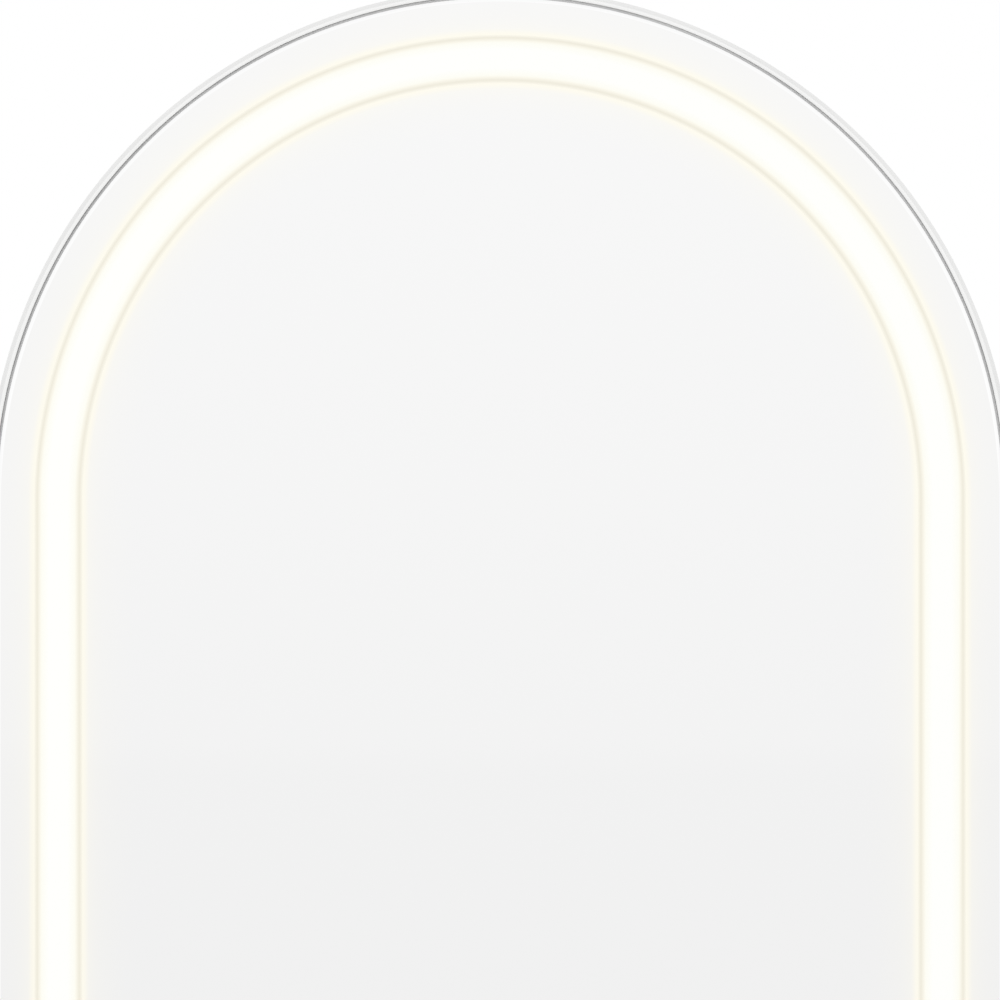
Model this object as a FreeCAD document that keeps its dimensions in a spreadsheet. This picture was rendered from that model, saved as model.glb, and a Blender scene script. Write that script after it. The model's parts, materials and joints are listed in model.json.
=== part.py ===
"""Arch-topped full-length lighted mirror that leans back on a folding rear stand.

The pieces are drawn upright in the mirror's own frame: X to the right, Y from the front
face towards the back, Z up from the bottom edge of the frame.  One common placement then
leans them back, so that the whole stands on the floor at Z = 0.  The stand is drawn in a
frame of its own, hanging down from the hinge axis.  All lengths are in millimetres.
"""
import FreeCAD
import Part
import Sketcher
import math
import os
from types import SimpleNamespace
from FreeCAD import Vector

SIZES = {
    # Whole mirror
    "mirror_width": 610,
    "mirror_height": 1800,
    "lean_angle": 10,
    "floor_gap": 3,
    # Aluminium frame section
    "frame_depth": 32,
    "nose_width": 4,
    "nose_round": 1.5,
    "wall_thickness": 1.8,
    "ledge_width": 16,
    "ledge_thickness": 1.6,
    "flange_width": 14,
    "flange_thickness": 1.6,
    # Corner keys of the frame
    "key_leg": 42,
    "key_thickness": 4,
    "key_play": 0.3,
    # Glass with its edge seal, silvering and tape
    "glass_recess": 1.5,
    "glass_thickness": 5,
    "glass_bevel_width": 2.4,
    "glass_bevel_depth": 0.7,
    "seal_width": 2,
    "seal_recess": 0.8,
    "silvering_thickness": 0.2,
    "tape_width": 7,
    "tape_thickness": 1,
    # Light band
    "band_margin": 24,
    "band_width": 25,
    "tray_lap": 4,
    "tray_rim": 1,
    "tray_step": 1.5,
    "tray_depth": 13,
    "tray_floor": 1.5,
    "diffuser_thickness": 2,
    "diffuser_play": 0.2,
    "led_strip_width": 8,
    "led_strip_thickness": 0.4,
    "led_pitch": 33.3,
    "led_length": 3.5,
    "led_width": 2.8,
    "led_height": 0.7,
    # Back panel
    "panel_thickness": 3,
    "panel_recess": 0.4,
    "panel_play": 0.7,
    # Cross rails
    "rail_thickness": 3,
    "rail_play": 1,
    "hinge_rail_height": 74,
    "hanger_rail_height": 44,
    # Wall hangers
    "hanger_drop": 20,
    "hanger_spread": 300,
    "hanger_length": 64,
    "hanger_height": 34,
    "hanger_sheet": 1.5,
    "hanger_rise": 6,
    "hanger_tab": 13,
    "hanger_screw_hole": 2.2,
    "keyhole_radius": 5,
    "keyhole_slot": 5,
    "keyhole_run": 11,
    # Stand hinges
    "hinge_height": 1000,
    "hinge_inset": 145,
    "hinge_offset": 14,
    "bracket_width": 46,
    "bracket_height": 64,
    "bracket_sheet": 2,
    "bracket_screw_margin": 8,
    "bracket_screw_hole": 2.2,
    "ear_thickness": 2.5,
    "ear_margin": 8,
    "ear_tip": 4,
    "ear_root_rise": 20,
    "ear_root_drop": 12,
    "ear_round": 5,
    "pin_radius": 3,
    "pin_head_radius": 5,
    "pin_head_height": 1.6,
    "pin_play": 0.05,
    "washer_radius": 6.5,
    "washer_thickness": 1,
    "washer_play": 0.2,
    "stop_radius": 2.5,
    "stop_reach": 19,
    "stop_play": 0.3,
    # Stand
    "stand_angle": 9,
    "tube_radius": 8,
    "tube_wall": 1.2,
    "tube_bend": 60,
    "tongue_thickness": 5,
    "tongue_reach": 38,
    "lug_collar": 8,
    "lug_spigot": 22,
    "sleeve_wall": 2.5,
    "sleeve_length": 44,
    "sleeve_margin": 3,
    # Rubber feet under the frame
    "foot_length": 60,
    "foot_inset": 85,
    "foot_margin": 4,
    # Touch sensor behind the glass
    "touch_height": 110,
    "touch_board_width": 36,
    "touch_board_height": 24,
    "board_thickness": 1.6,
    "socket_width": 9,
    "socket_height": 7,
    "socket_depth": 6,
    # Controller on the back panel
    "controller_x": -130,
    "controller_z": 115,
    "controller_width": 100,
    "controller_height": 46,
    "controller_depth": 18,
    "controller_wall": 1.8,
    "controller_lid": 1.5,
    "controller_board_play": 0.5,
    "board_rest_width": 6,
    "board_rest_height": 4,
    # Power inlet
    "inlet_x": 100,
    "inlet_z": 110,
    "inlet_flange_radius": 7,
    "inlet_flange": 2,
    "inlet_body_radius": 5.4,
    "inlet_body_length": 15,
    "inlet_hole_play": 0.2,
    "inlet_bore_radius": 2.85,
    "inlet_bore_depth": 9.5,
    "inlet_pin_radius": 1,
    "inlet_pin_recess": 1,
    "inlet_nut_radius": 8,
    "inlet_nut_height": 2.5,
    "terminal_width": 7,
    "terminal_depth": 4,
}

doc = FreeCAD.newDocument("lighted_mirror")
sheet = doc.addObject("Spreadsheet::Sheet", "sizes")
for row, (alias, number) in enumerate(SIZES.items(), start=1):
    sheet.set(f"A{row}", alias)
    sheet.set(f"B{row}", str(number))
    sheet.setAlias(f"B{row}", alias)
doc.recompute()

nodes = []


class Size:
    """A size kept as a formula on the sheet's cells, so that arithmetic on sizes stays linked to them."""

    def __init__(self, formula):
        self.formula = str(formula)

    def __str__(self):
        return self.formula

    def __float__(self):
        result = sheet.evalExpression(self.formula)
        return float(getattr(result, "Value", result))

    def __neg__(self):
        return Size(f"(-{self})")

    def __add__(self, other):
        return Size(f"({self} + {other})")

    def __sub__(self, other):
        return Size(f"({self} - {other})")

    def __rsub__(self, other):
        return Size(f"({other} - {self})")

    def __mul__(self, other):
        return Size(f"({self} * {other})")

    def __truediv__(self, other):
        return Size(f"({self} / {other})")


def sine(angle):
    """Sine of an angle given in degrees."""
    return Size(f"sin({angle} * 1 deg)")


def cosine(angle):
    """Cosine of an angle given in degrees."""
    return Size(f"cos({angle} * 1 deg)")


def chord(radius, height):
    """Half the width of a circle at a height above its centre, and the radius itself below it."""
    return Size(f"sqrt(pow({radius}; 2) - pow(max(0; {height}); 2))")


size = SimpleNamespace(**{alias: Size(f"sizes.{alias}") for alias in SIZES})
ZERO = Size("0")

# Places along the front view: insets from the outer outline, and heights
half_width = size.mirror_width / 2
arch_centre = size.mirror_height - half_width
glass_edge = size.nose_width + size.seal_width
band_outer = glass_edge + size.band_margin
band_inner = band_outer + size.band_width
tray_outer = band_outer - size.tray_lap
tray_inner = band_inner + size.tray_lap
channel_outer = tray_outer + size.tray_rim + size.tray_step
channel_inner = tray_inner - size.tray_rim - size.tray_step
led_face = channel_outer + size.led_strip_thickness
panel_edge = size.wall_thickness + size.panel_play
hanger_z = arch_centre - size.hanger_drop
hanger_x = size.hanger_spread / 2
hinge_x = half_width - size.hinge_inset
foot_x = half_width - size.foot_inset

# Depths from the front face towards the back
seal_front = size.glass_recess + size.seal_recess
glass_back = size.glass_recess + size.glass_thickness
silvering_back = glass_back + size.silvering_thickness
ledge_front = silvering_back + size.tape_thickness
ledge_back = ledge_front + size.ledge_thickness
diffuser_back = silvering_back + size.diffuser_thickness
tray_back = silvering_back + size.tray_depth
channel_floor = tray_back - size.tray_floor
led_middle = (diffuser_back + channel_floor) / 2
panel_back = size.frame_depth - size.panel_recess
panel_front = panel_back - size.panel_thickness
flange_front = panel_front - size.flange_thickness
bracket_back = panel_back + size.bracket_sheet
hinge_y = bracket_back + size.hinge_offset
touch_back = silvering_back + size.board_thickness

# Electrics between the glass and the back panel
controller_front = panel_front - size.controller_depth
inlet_outer = panel_back + size.inlet_flange
inlet_rear = panel_back - size.inlet_body_length

# Hinge sizes across the axis, and the stop at the open angle
open_angle = size.lean_angle + size.stand_angle
ear_gap = size.tongue_thickness + (size.washer_thickness + size.washer_play) * 2
bracket_inside = ear_gap + size.ear_thickness * 2
stop_stand_off = size.tube_radius + size.stop_play + size.stop_radius
stop_y = hinge_y + size.stop_reach * sine(open_angle) + stop_stand_off * cosine(open_angle)
stop_z = size.hinge_height - size.stop_reach * cosine(open_angle) + stop_stand_off * sine(open_angle)

# The stand's own frame hangs from the hinge axis; its length brings the sleeves to the floor
sleeve_radius = size.tube_radius + size.sleeve_wall
lean_sine = sine(size.lean_angle)
lean_cosine = cosine(size.lean_angle)
base_z = size.floor_gap + size.frame_depth * lean_sine
hinge_floor_z = base_z + size.hinge_height * lean_cosine - hinge_y * lean_sine
stand_length = (hinge_floor_z - sleeve_radius) / cosine(size.stand_angle)
hinge_run = hinge_y * lean_cosine + size.hinge_height * lean_sine
stand_run = hinge_run + stand_length * sine(size.stand_angle) + sleeve_radius
base_y = -stand_run / 2
tube_top = -(size.tongue_reach + size.lug_collar)
sleeve_x = hinge_x - size.tube_bend - size.sleeve_length / 2 - size.sleeve_margin


def bind(thing, name, formula):
    """Tie a property or a sketch constraint to a formula on the sheet."""
    thing.setExpression(name, str(formula))


def keep(thing):
    """List an object as a sub-part to be written out, under its own label."""
    nodes.append(thing)
    return thing


def place(thing, x=ZERO, y=ZERO, z=ZERO):
    """Set a piece, drawn upright about a point of the mirror's frame, into the leaning mirror."""
    floor_y = base_y + y * lean_cosine + z * lean_sine
    floor_z = base_z + z * lean_cosine - y * lean_sine
    turn = f"rotation(vector(1; 0; 0); -{size.lean_angle})"
    bind(thing, "Placement", f"placement(vector({x}; {floor_y}; {floor_z}); {turn})")
    return keep(thing)


def place_on_stand(thing, x=ZERO):
    """Set a piece, drawn hanging from the hinge axis, onto the opened stand."""
    turn = f"rotation(vector(1; 0; 0); {size.stand_angle})"
    bind(thing, "Placement", f"placement(vector({x}; {base_y + hinge_run}; {hinge_floor_z}); {turn})")
    return keep(thing)


def new_body(label):
    """An empty body that may hold more than one solid."""
    body = doc.addObject("PartDesign::Body", label)
    body.AllowCompound = True
    return body


def drawing(body, role, offset):
    """A sketch on one of the body's own planes, moved along that plane's normal."""
    sketch = body.newObject("Sketcher::SketchObject", f"{body.Name}_drawing")
    plane = next(feature for feature in body.Origin.OriginFeatures if feature.Role == role)
    sketch.AttachmentSupport = [(plane, "")]
    sketch.MapMode = "FlatFace"
    bind(sketch, "AttachmentOffset.Base.z", offset)
    return sketch


def front_view(body, depth):
    """A sketch of X against Z at a depth behind the front face."""
    return drawing(body, "XZ_Plane", -depth)


def plan_view(body, height):
    """A sketch of X against Y at a height."""
    return drawing(body, "XY_Plane", height)


def side_view(body, x):
    """A sketch of Y against Z at a place along X."""
    return drawing(body, "YZ_Plane", x)


def pin_point(sketch, geometry, corner, across, up):
    """Fix a point of a sketch at a place from the sketch's origin."""
    for kind, axis, formula in (("DistanceX", -2, across), ("DistanceY", -1, up)):
        if formula is ZERO:
            sketch.addConstraint(Sketcher.Constraint("PointOnObject", geometry, corner, axis))
        else:
            rule = sketch.addConstraint(Sketcher.Constraint(kind, -1, 1, geometry, corner, float(formula)))
            bind(sketch, f"Constraints[{rule}]", formula)


def polygon(sketch, corners):
    """A closed outline of straight lines through places given as formulas."""
    points = [Vector(float(across), float(up)) for across, up in corners]
    lines = []
    for start, end in zip(points, points[1:] + points[:1]):
        lines.append(sketch.addGeometry(Part.LineSegment(start, end)))
    for line, following in zip(lines, lines[1:] + lines[:1]):
        sketch.addConstraint(Sketcher.Constraint("Coincident", line, 2, following, 1))
    for line, (across, up) in zip(lines, corners):
        pin_point(sketch, line, 1, across, up)


def rectangle(sketch, across, up, width, height):
    """A rectangle about a centre."""
    left, right = across - width / 2, across + width / 2
    low, high = up - height / 2, up + height / 2
    polygon(sketch, [(left, low), (right, low), (right, high), (left, high)])


def circle(sketch, across, up, radius):
    """A circle about a centre."""
    centre = Vector(float(across), float(up))
    ring = sketch.addGeometry(Part.Circle(centre, Vector(0, 0, 1), float(radius)))
    pin_point(sketch, ring, 3, across, up)
    rule = sketch.addConstraint(Sketcher.Constraint("Radius", ring, float(radius)))
    bind(sketch, f"Constraints[{rule}]", radius)


def arch(sketch, inset):
    """The mirror's outline set in by an inset: a flat bottom, two sides and a half-round top."""
    reach = half_width - inset
    across, low, centre = float(reach), float(inset), float(arch_centre)
    bottom = sketch.addGeometry(Part.LineSegment(Vector(-across, low), Vector(across, low)))
    right = sketch.addGeometry(Part.LineSegment(Vector(across, low), Vector(across, centre)))
    round_top = Part.Circle(Vector(0, centre), Vector(0, 0, 1), across)
    top = sketch.addGeometry(Part.ArcOfCircle(round_top, 0, math.pi))
    left = sketch.addGeometry(Part.LineSegment(Vector(-across, centre), Vector(-across, low)))
    sketch.addConstraint(Sketcher.Constraint("Coincident", bottom, 2, right, 1))
    sketch.addConstraint(Sketcher.Constraint("Tangent", right, 2, top, 1))
    sketch.addConstraint(Sketcher.Constraint("Tangent", top, 2, left, 1))
    sketch.addConstraint(Sketcher.Constraint("Coincident", left, 2, bottom, 1))
    sketch.addConstraint(Sketcher.Constraint("Vertical", right))
    sketch.addConstraint(Sketcher.Constraint("Vertical", left))
    pin_point(sketch, bottom, 1, -reach, inset)
    pin_point(sketch, bottom, 2, reach, inset)
    rule = sketch.addConstraint(Sketcher.Constraint("DistanceY", -1, 1, top, 3, centre))
    bind(sketch, f"Constraints[{rule}]", arch_centre)


def pad(body, sketch, length, reverse=False, both_ways=False):
    """Raise a sketch along its plane's normal, against it, or half each way."""
    feature = body.newObject("PartDesign::Pad", f"{body.Name}_pad")
    feature.Profile = sketch
    bind(feature, "Length", length)
    feature.Reversed = reverse
    feature.SideType = "Symmetric" if both_ways else "One side"
    return feature


def pocket(body, sketch, depth=None, reverse=False):
    """Cut a sketch to a depth, or right through both ways, and make sure that it cut."""
    doc.recompute()
    before = body.Shape.Volume
    feature = body.newObject("PartDesign::Pocket", f"{body.Name}_pocket")
    feature.Profile = sketch
    feature.Reversed = reverse
    if depth is None:
        feature.SideType = "Symmetric"
        feature.Type = "ThroughAll"
    else:
        bind(feature, "Length", depth)
    doc.recompute()
    if body.Shape.Volume >= before:
        raise RuntimeError(f"a cut in {body.Label} removed nothing")
    return feature


def pane(label, inset, depth, thickness, *inner_insets):
    """A plate of the mirror's outline, with further outlines inside it cutting rings and islands."""
    body = new_body(label)
    outline = front_view(body, depth)
    for edge in (inset, *inner_insets):
        arch(outline, edge)
    pad(body, outline, thickness, reverse=True)
    return body


def edges_at(shape, test):
    """Names of a shape's edges whose middle passes a test."""
    names = []
    for index, edge in enumerate(shape.Edges, start=1):
        middle = edge.valueAt((edge.FirstParameter + edge.LastParameter) / 2)
        if test(middle):
            names.append(f"Edge{index}")
    return names


def fillet(body, base, names, radius):
    """Round edges of a body's last feature."""
    feature = body.newObject("PartDesign::Fillet", f"{body.Name}_fillet")
    feature.Base = (base, names)
    bind(feature, "Radius", radius)
    return feature


def group(label, solids):
    """One object that holds separate solids, drawn in the mirror's own frame."""
    feature = doc.addObject("Part::Feature", label)
    feature.Shape = Part.makeCompound(solids)
    return place(feature)


def loop_stations(inset, pitch, margin):
    """Evenly pitched places along an inset outline: x, z and the direction of the outline there."""
    reach = float(half_width - inset)
    low, centre = float(inset), float(arch_centre)
    stations = []
    rows = int((centre - low - margin) / pitch)
    for step in range(rows + 1):
        height = centre - step * (centre - low - margin) / rows
        stations.append((reach, height, 90))
        stations.append((-reach, height, 270))
    turns = int(math.pi * reach / pitch)
    for step in range(1, turns):
        angle = 180 * step / turns
        across = reach * math.cos(math.radians(angle))
        stations.append((across, centre + reach * math.sin(math.radians(angle)), angle + 90))
    columns = int(2 * (reach - margin) / pitch)
    for step in range(columns + 1):
        stations.append((-reach + margin + step * 2 * (reach - margin) / columns, low, 0))
    return stations


def bracket_screw_places():
    """Places of one hinge bracket's four screw holes about its own middle."""
    across = size.bracket_width / 2 - size.bracket_screw_margin
    up = size.bracket_height / 2 - size.bracket_screw_margin
    return [(x, size.hinge_height + z) for x in (-across, across) for z in (-up, up)]


def hanger_screw_places():
    """Places of one hanger's two screw holes about its own middle."""
    across = size.hanger_length / 2 - size.hanger_tab / 2
    return [(-across, hanger_z), (across, hanger_z)]


def rail_reach(height, rail_height):
    """Half the length of a cross rail that fits between the frame's walls."""
    room = half_width - size.wall_thickness - size.rail_play
    return chord(room, height + rail_height / 2 - arch_centre)


def section(side):
    """Corners of the frame's section, as inset and depth, for the side that a function maps them to."""
    wall, ledge, flange = size.wall_thickness, size.ledge_width, size.flange_width
    corners = [
        (ZERO, ZERO), (size.nose_width, ZERO), (size.nose_width, ledge_front), (ledge, ledge_front),
        (ledge, ledge_back), (wall, ledge_back), (wall, flange_front), (flange, flange_front),
        (flange, panel_front), (wall, panel_front), (wall, size.frame_depth), (ZERO, size.frame_depth),
    ]
    return [side(inset, depth) for inset, depth in corners]


def drill(body, depth, places, radius, length):
    """Round holes from a depth towards the back."""
    holes = front_view(body, depth)
    for x, z in places:
        circle(holes, x, z, radius)
    return pocket(body, holes, length)


def mitre(body, inner):
    """Cut both bottom corners at 45 degrees, keeping either the sides or the bottom rail."""
    reach = size.ledge_width + size.nose_width
    for left in (True, False):
        corner = -half_width if left else half_width
        inwards = corner + reach if left else corner - reach
        third = (inwards, ZERO) if inner else (corner, reach)
        cut = front_view(body, ZERO)
        polygon(cut, [(corner, ZERO), third, (inwards, reach)])
        pocket(body, cut)


def frame_hoop():
    """One bent length of the frame's section: up the left side, over the arch and down the right."""
    body = new_body("frame_hoop")
    outline = plan_view(body, ZERO)
    polygon(outline, section(lambda inset, depth: (inset - half_width, depth)))
    path = front_view(body, ZERO)
    across, centre = float(half_width), float(arch_centre)
    left = path.addGeometry(Part.LineSegment(Vector(-across, 0), Vector(-across, centre)))
    round_top = Part.Circle(Vector(0, centre), Vector(0, 0, 1), across)
    top = path.addGeometry(Part.ArcOfCircle(round_top, 0, math.pi))
    right = path.addGeometry(Part.LineSegment(Vector(across, centre), Vector(across, 0)))
    path.addConstraint(Sketcher.Constraint("Tangent", left, 2, top, 2))
    path.addConstraint(Sketcher.Constraint("Tangent", top, 1, right, 1))
    path.addConstraint(Sketcher.Constraint("Vertical", left))
    path.addConstraint(Sketcher.Constraint("Vertical", right))
    pin_point(path, left, 1, -half_width, ZERO)
    pin_point(path, right, 2, half_width, ZERO)
    rule = path.addConstraint(Sketcher.Constraint("DistanceY", -1, 1, top, 3, centre))
    bind(path, f"Constraints[{rule}]", arch_centre)
    sweep = body.newObject("PartDesign::AdditivePipe", "frame_hoop_sweep")
    sweep.Profile = outline
    sweep.Spine = (path, ["Edge1", "Edge2", "Edge3"])
    doc.recompute()
    reach = float(half_width)

    def at_nose(middle):
        beside = abs(abs(middle.x) - reach) < 0.01
        on_top = abs(math.hypot(middle.x, middle.z - centre) - reach) < 0.01
        return abs(middle.y) < 0.01 and (beside or on_top)

    fillet(body, sweep, edges_at(sweep.Shape, at_nose), size.nose_round)
    mitre(body, inner=True)
    return place(body)


def frame_bottom_rail():
    """The same section along the bottom, mitred to the hoop at both corners."""
    body = new_body("frame_bottom_rail")
    outline = side_view(body, ZERO)
    polygon(outline, section(lambda inset, depth: (depth, inset)))
    bar = pad(body, outline, size.mirror_width, both_ways=True)
    doc.recompute()
    nose = edges_at(bar.Shape, lambda middle: abs(middle.y) < 0.01 and abs(middle.z) < 0.01)
    fillet(body, bar, nose, size.nose_round)
    mitre(body, inner=False)
    return place(body)


def corner_key(label, side):
    """An angle key inside the frame's channel that holds one mitred bottom corner."""
    body = new_body(label)
    near = size.wall_thickness
    inside = near + size.key_thickness
    far = near + size.key_leg
    front = ledge_back + size.key_play
    depth = flange_front - size.key_play - front
    outline = front_view(body, front)
    corners = [(near, near), (far, near), (far, inside), (inside, inside), (inside, far), (near, far)]
    polygon(outline, [((half_width - across) * side, up) for across, up in corners])
    pad(body, outline, depth, reverse=True)
    return place(body)


def mirror_glass():
    """The clear pane with a narrow polished bevel round its front edge."""
    body = pane("mirror_glass", glass_edge, size.glass_recess, size.glass_thickness)
    doc.recompute()
    base = body.Tip
    front = float(size.glass_recess)
    bevel = body.newObject("PartDesign::Chamfer", "mirror_glass_bevel")
    bevel.Base = (base, edges_at(base.Shape, lambda middle: abs(middle.y - front) < 0.01))
    bevel.ChamferType = "Two distances"
    bind(bevel, "Size", size.glass_bevel_width)
    bind(bevel, "Size2", size.glass_bevel_depth)
    return place(body)


def edge_seal():
    """The dark rubber seal between the frame's nose and the glass, set back from both."""
    return place(pane("edge_seal", size.nose_width, seal_front, glass_back - seal_front, glass_edge))


def silvering():
    """The silvered and painted back of the glass, left out along the light band."""
    film = size.silvering_thickness
    return place(pane("silvering", glass_edge, glass_back, film, band_outer, band_inner))


def mounting_tape():
    """Foam tape that bonds the glass to the frame's ledge."""
    outer = size.ledge_width - size.tape_width
    return place(pane("mounting_tape", outer, silvering_back, size.tape_thickness, size.ledge_width))


def led_tray():
    """The white channel behind the light band, with a step for the diffuser."""
    body = pane("led_tray", tray_outer, silvering_back, size.tray_depth, tray_inner)
    step = front_view(body, silvering_back)
    arch(step, tray_outer + size.tray_rim)
    arch(step, tray_inner - size.tray_rim)
    pocket(body, step, size.diffuser_thickness)
    channel = front_view(body, diffuser_back)
    arch(channel, channel_outer)
    arch(channel, channel_inner)
    pocket(body, channel, channel_floor - diffuser_back)
    return place(body)


def diffuser():
    """The opal sheet that spreads the light across the band."""
    edge = size.tray_rim + size.diffuser_play
    outer, inner = tray_outer + edge, tray_inner - edge
    return place(pane("diffuser", outer, silvering_back, size.diffuser_thickness, inner))


def led_strip():
    """The flexible strip stuck on edge to the tray's outer wall, where it can follow the arch."""
    front = led_middle - size.led_strip_width / 2
    return place(pane("led_strip", channel_outer, front, size.led_strip_width, led_face))


def led_chips():
    """The light-emitting packages along the strip, facing inwards, just clear of its curve."""
    along, across, rise = float(size.led_length), float(size.led_width), float(size.led_height)
    middle = float(led_middle)
    seat = led_face + size.led_length * size.led_length / (half_width - led_face) / 8
    chip = Part.makeBox(along, across, rise, Vector(-along / 2, -across / 2, 0))
    solids = []
    for x, z, heading in loop_stations(seat, float(size.led_pitch), float(size.led_pitch)):
        turn = FreeCAD.Rotation(Vector(0, 1, 0), -heading)
        solids.append(chip.copy().transformGeometry(FreeCAD.Placement(Vector(x, middle, z), turn).Matrix))
    return group("led_chips", solids)


def back_panel():
    """The rear cover inside the frame's lip, drilled for the power inlet."""
    body = pane("back_panel", panel_edge, panel_front, size.panel_thickness)
    inlet = [(size.inlet_x, size.inlet_z)]
    drill(body, panel_front, inlet, size.inlet_body_radius + size.inlet_hole_play, size.panel_thickness)
    return place(body)


def cross_rail(label, height, rail_height):
    """A flat rail between the frame's sides, joggled at its ends so that its middle backs the panel."""
    body = new_body(label)
    reach = rail_reach(height, rail_height)
    bend_out = reach - size.flange_width
    bend_in = bend_out - size.flange_thickness * 2
    thick = size.rail_thickness
    front_profile = [
        (-reach, flange_front - thick), (-bend_out, flange_front - thick), (-bend_in, panel_front - thick),
        (bend_in, panel_front - thick), (bend_out, flange_front - thick), (reach, flange_front - thick),
    ]
    back_profile = [(x, depth + thick) for x, depth in reversed(front_profile)]
    outline = plan_view(body, height)
    polygon(outline, front_profile + back_profile)
    pad(body, outline, rail_height, both_ways=True)
    return place(body)


def wall_hanger(label, side):
    """A raised keyhole plate on the back panel."""
    body = new_body(label)
    half = size.hanger_length / 2
    tab = half - size.hanger_tab
    crown = tab - size.hanger_rise
    sheet_back = panel_back + size.hanger_sheet
    raised = panel_back + size.hanger_rise
    outline = plan_view(body, hanger_z)
    polygon(outline, [
        (-half, panel_back), (-tab, panel_back), (-crown, raised - size.hanger_sheet),
        (crown, raised - size.hanger_sheet), (tab, panel_back), (half, panel_back),
        (half, sheet_back), (tab, sheet_back), (crown, raised), (-crown, raised),
        (-tab, sheet_back), (-half, sheet_back),
    ])
    pad(body, outline, size.hanger_height, both_ways=True)
    drill(body, panel_back, hanger_screw_places(), size.hanger_screw_hole, size.hanger_sheet)
    low = hanger_z - size.keyhole_run / 2
    high = hanger_z + size.keyhole_run / 2
    cut = size.hanger_rise
    drill(body, panel_back, [(ZERO, low)], size.keyhole_radius, cut)
    drill(body, panel_back, [(ZERO, high)], size.keyhole_slot / 2, cut)
    slot = front_view(body, panel_back)
    rectangle(slot, ZERO, hanger_z, size.keyhole_slot, size.keyhole_run)
    pocket(body, slot, cut)
    return place(body, x=hanger_x * side)


def hinge_bracket(label, side):
    """A folded steel bracket whose two ears carry the hinge pin and the stop pin."""
    body = new_body(label)
    base = front_view(body, panel_back)
    rectangle(base, ZERO, size.hinge_height, size.bracket_width, size.bracket_height)
    plate = pad(body, base, size.bracket_sheet, reverse=True)
    doc.recompute()
    edge_x = float(size.bracket_width) / 2
    middle_y = float(panel_back + size.bracket_sheet / 2)

    def at_corner(middle):
        return abs(middle.y - middle_y) < 0.01 and abs(abs(middle.x) - edge_x) < 0.01

    fillet(body, plate, edges_at(plate.Shape, at_corner), size.ear_round)
    margin, tip = size.ear_margin, size.ear_tip
    ear = side_view(body, ZERO)
    polygon(ear, [
        (panel_back, size.hinge_height + size.ear_root_rise),
        (hinge_y + margin, size.hinge_height + margin),
        (stop_y + margin, stop_z + tip),
        (stop_y + tip, stop_z - margin),
        (panel_back, stop_z - size.ear_root_drop),
    ])
    block = pad(body, ear, bracket_inside, both_ways=True)
    doc.recompute()
    tips = edges_at(block.Shape, lambda middle: abs(middle.x) < 0.01 and middle.y > float(hinge_y))
    fillet(body, block, tips, size.ear_round)
    room = plan_view(body, size.hinge_height)
    rectangle(room, ZERO, bracket_back + stop_y / 2, ear_gap, stop_y)
    pocket(body, room)
    pins = side_view(body, ZERO)
    circle(pins, hinge_y, size.hinge_height, size.pin_radius + size.pin_play)
    circle(pins, stop_y, stop_z, size.stop_radius + size.pin_play)
    pocket(body, pins)
    drill(body, panel_back, bracket_screw_places(), size.bracket_screw_hole, size.bracket_sheet)
    return place(body, x=hinge_x * side)


def hinge_pin(label, side):
    """A headed pin through both ears and the stand's tongue."""
    body = new_body(label)
    half = bracket_inside / 2
    outer = half + size.pin_head_height
    outline = plan_view(body, ZERO)
    polygon(outline, [
        (-outer, ZERO), (-outer, size.pin_head_radius), (-half, size.pin_head_radius),
        (-half, size.pin_radius), (half, size.pin_radius), (half, size.pin_head_radius),
        (outer, size.pin_head_radius), (outer, ZERO),
    ])
    turned = body.newObject("PartDesign::Revolution", f"{label}_turned")
    turned.Profile = outline
    turned.ReferenceAxis = (outline, ["H_Axis"])
    turned.Angle = 360
    return place(body, hinge_x * side, hinge_y, size.hinge_height)


def stop_pin(label, side):
    """A plain pin across the ears that the opened stand leans on."""
    body = new_body(label)
    outline = side_view(body, ZERO)
    circle(outline, ZERO, ZERO, size.stop_radius)
    pad(body, outline, bracket_inside, both_ways=True)
    return place(body, hinge_x * side, stop_y, stop_z)


def hinge_washers():
    """Plastic washers on the hinge pins, one each side of each tongue."""
    outer, inner = float(size.washer_radius), float(size.pin_radius + size.pin_play)
    thick, gap = float(size.washer_thickness), float(ear_gap)
    solids = []
    for middle in (-float(hinge_x), float(hinge_x)):
        for start in (middle - gap / 2, middle + gap / 2 - thick):
            foot = Vector(start, float(hinge_y), float(size.hinge_height))
            along = Vector(1, 0, 0)
            ring = Part.makeCylinder(outer, thick, foot, along)
            solids.append(ring.cut(Part.makeCylinder(inner, thick, foot, along)))
    return group("hinge_washers", solids)


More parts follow.
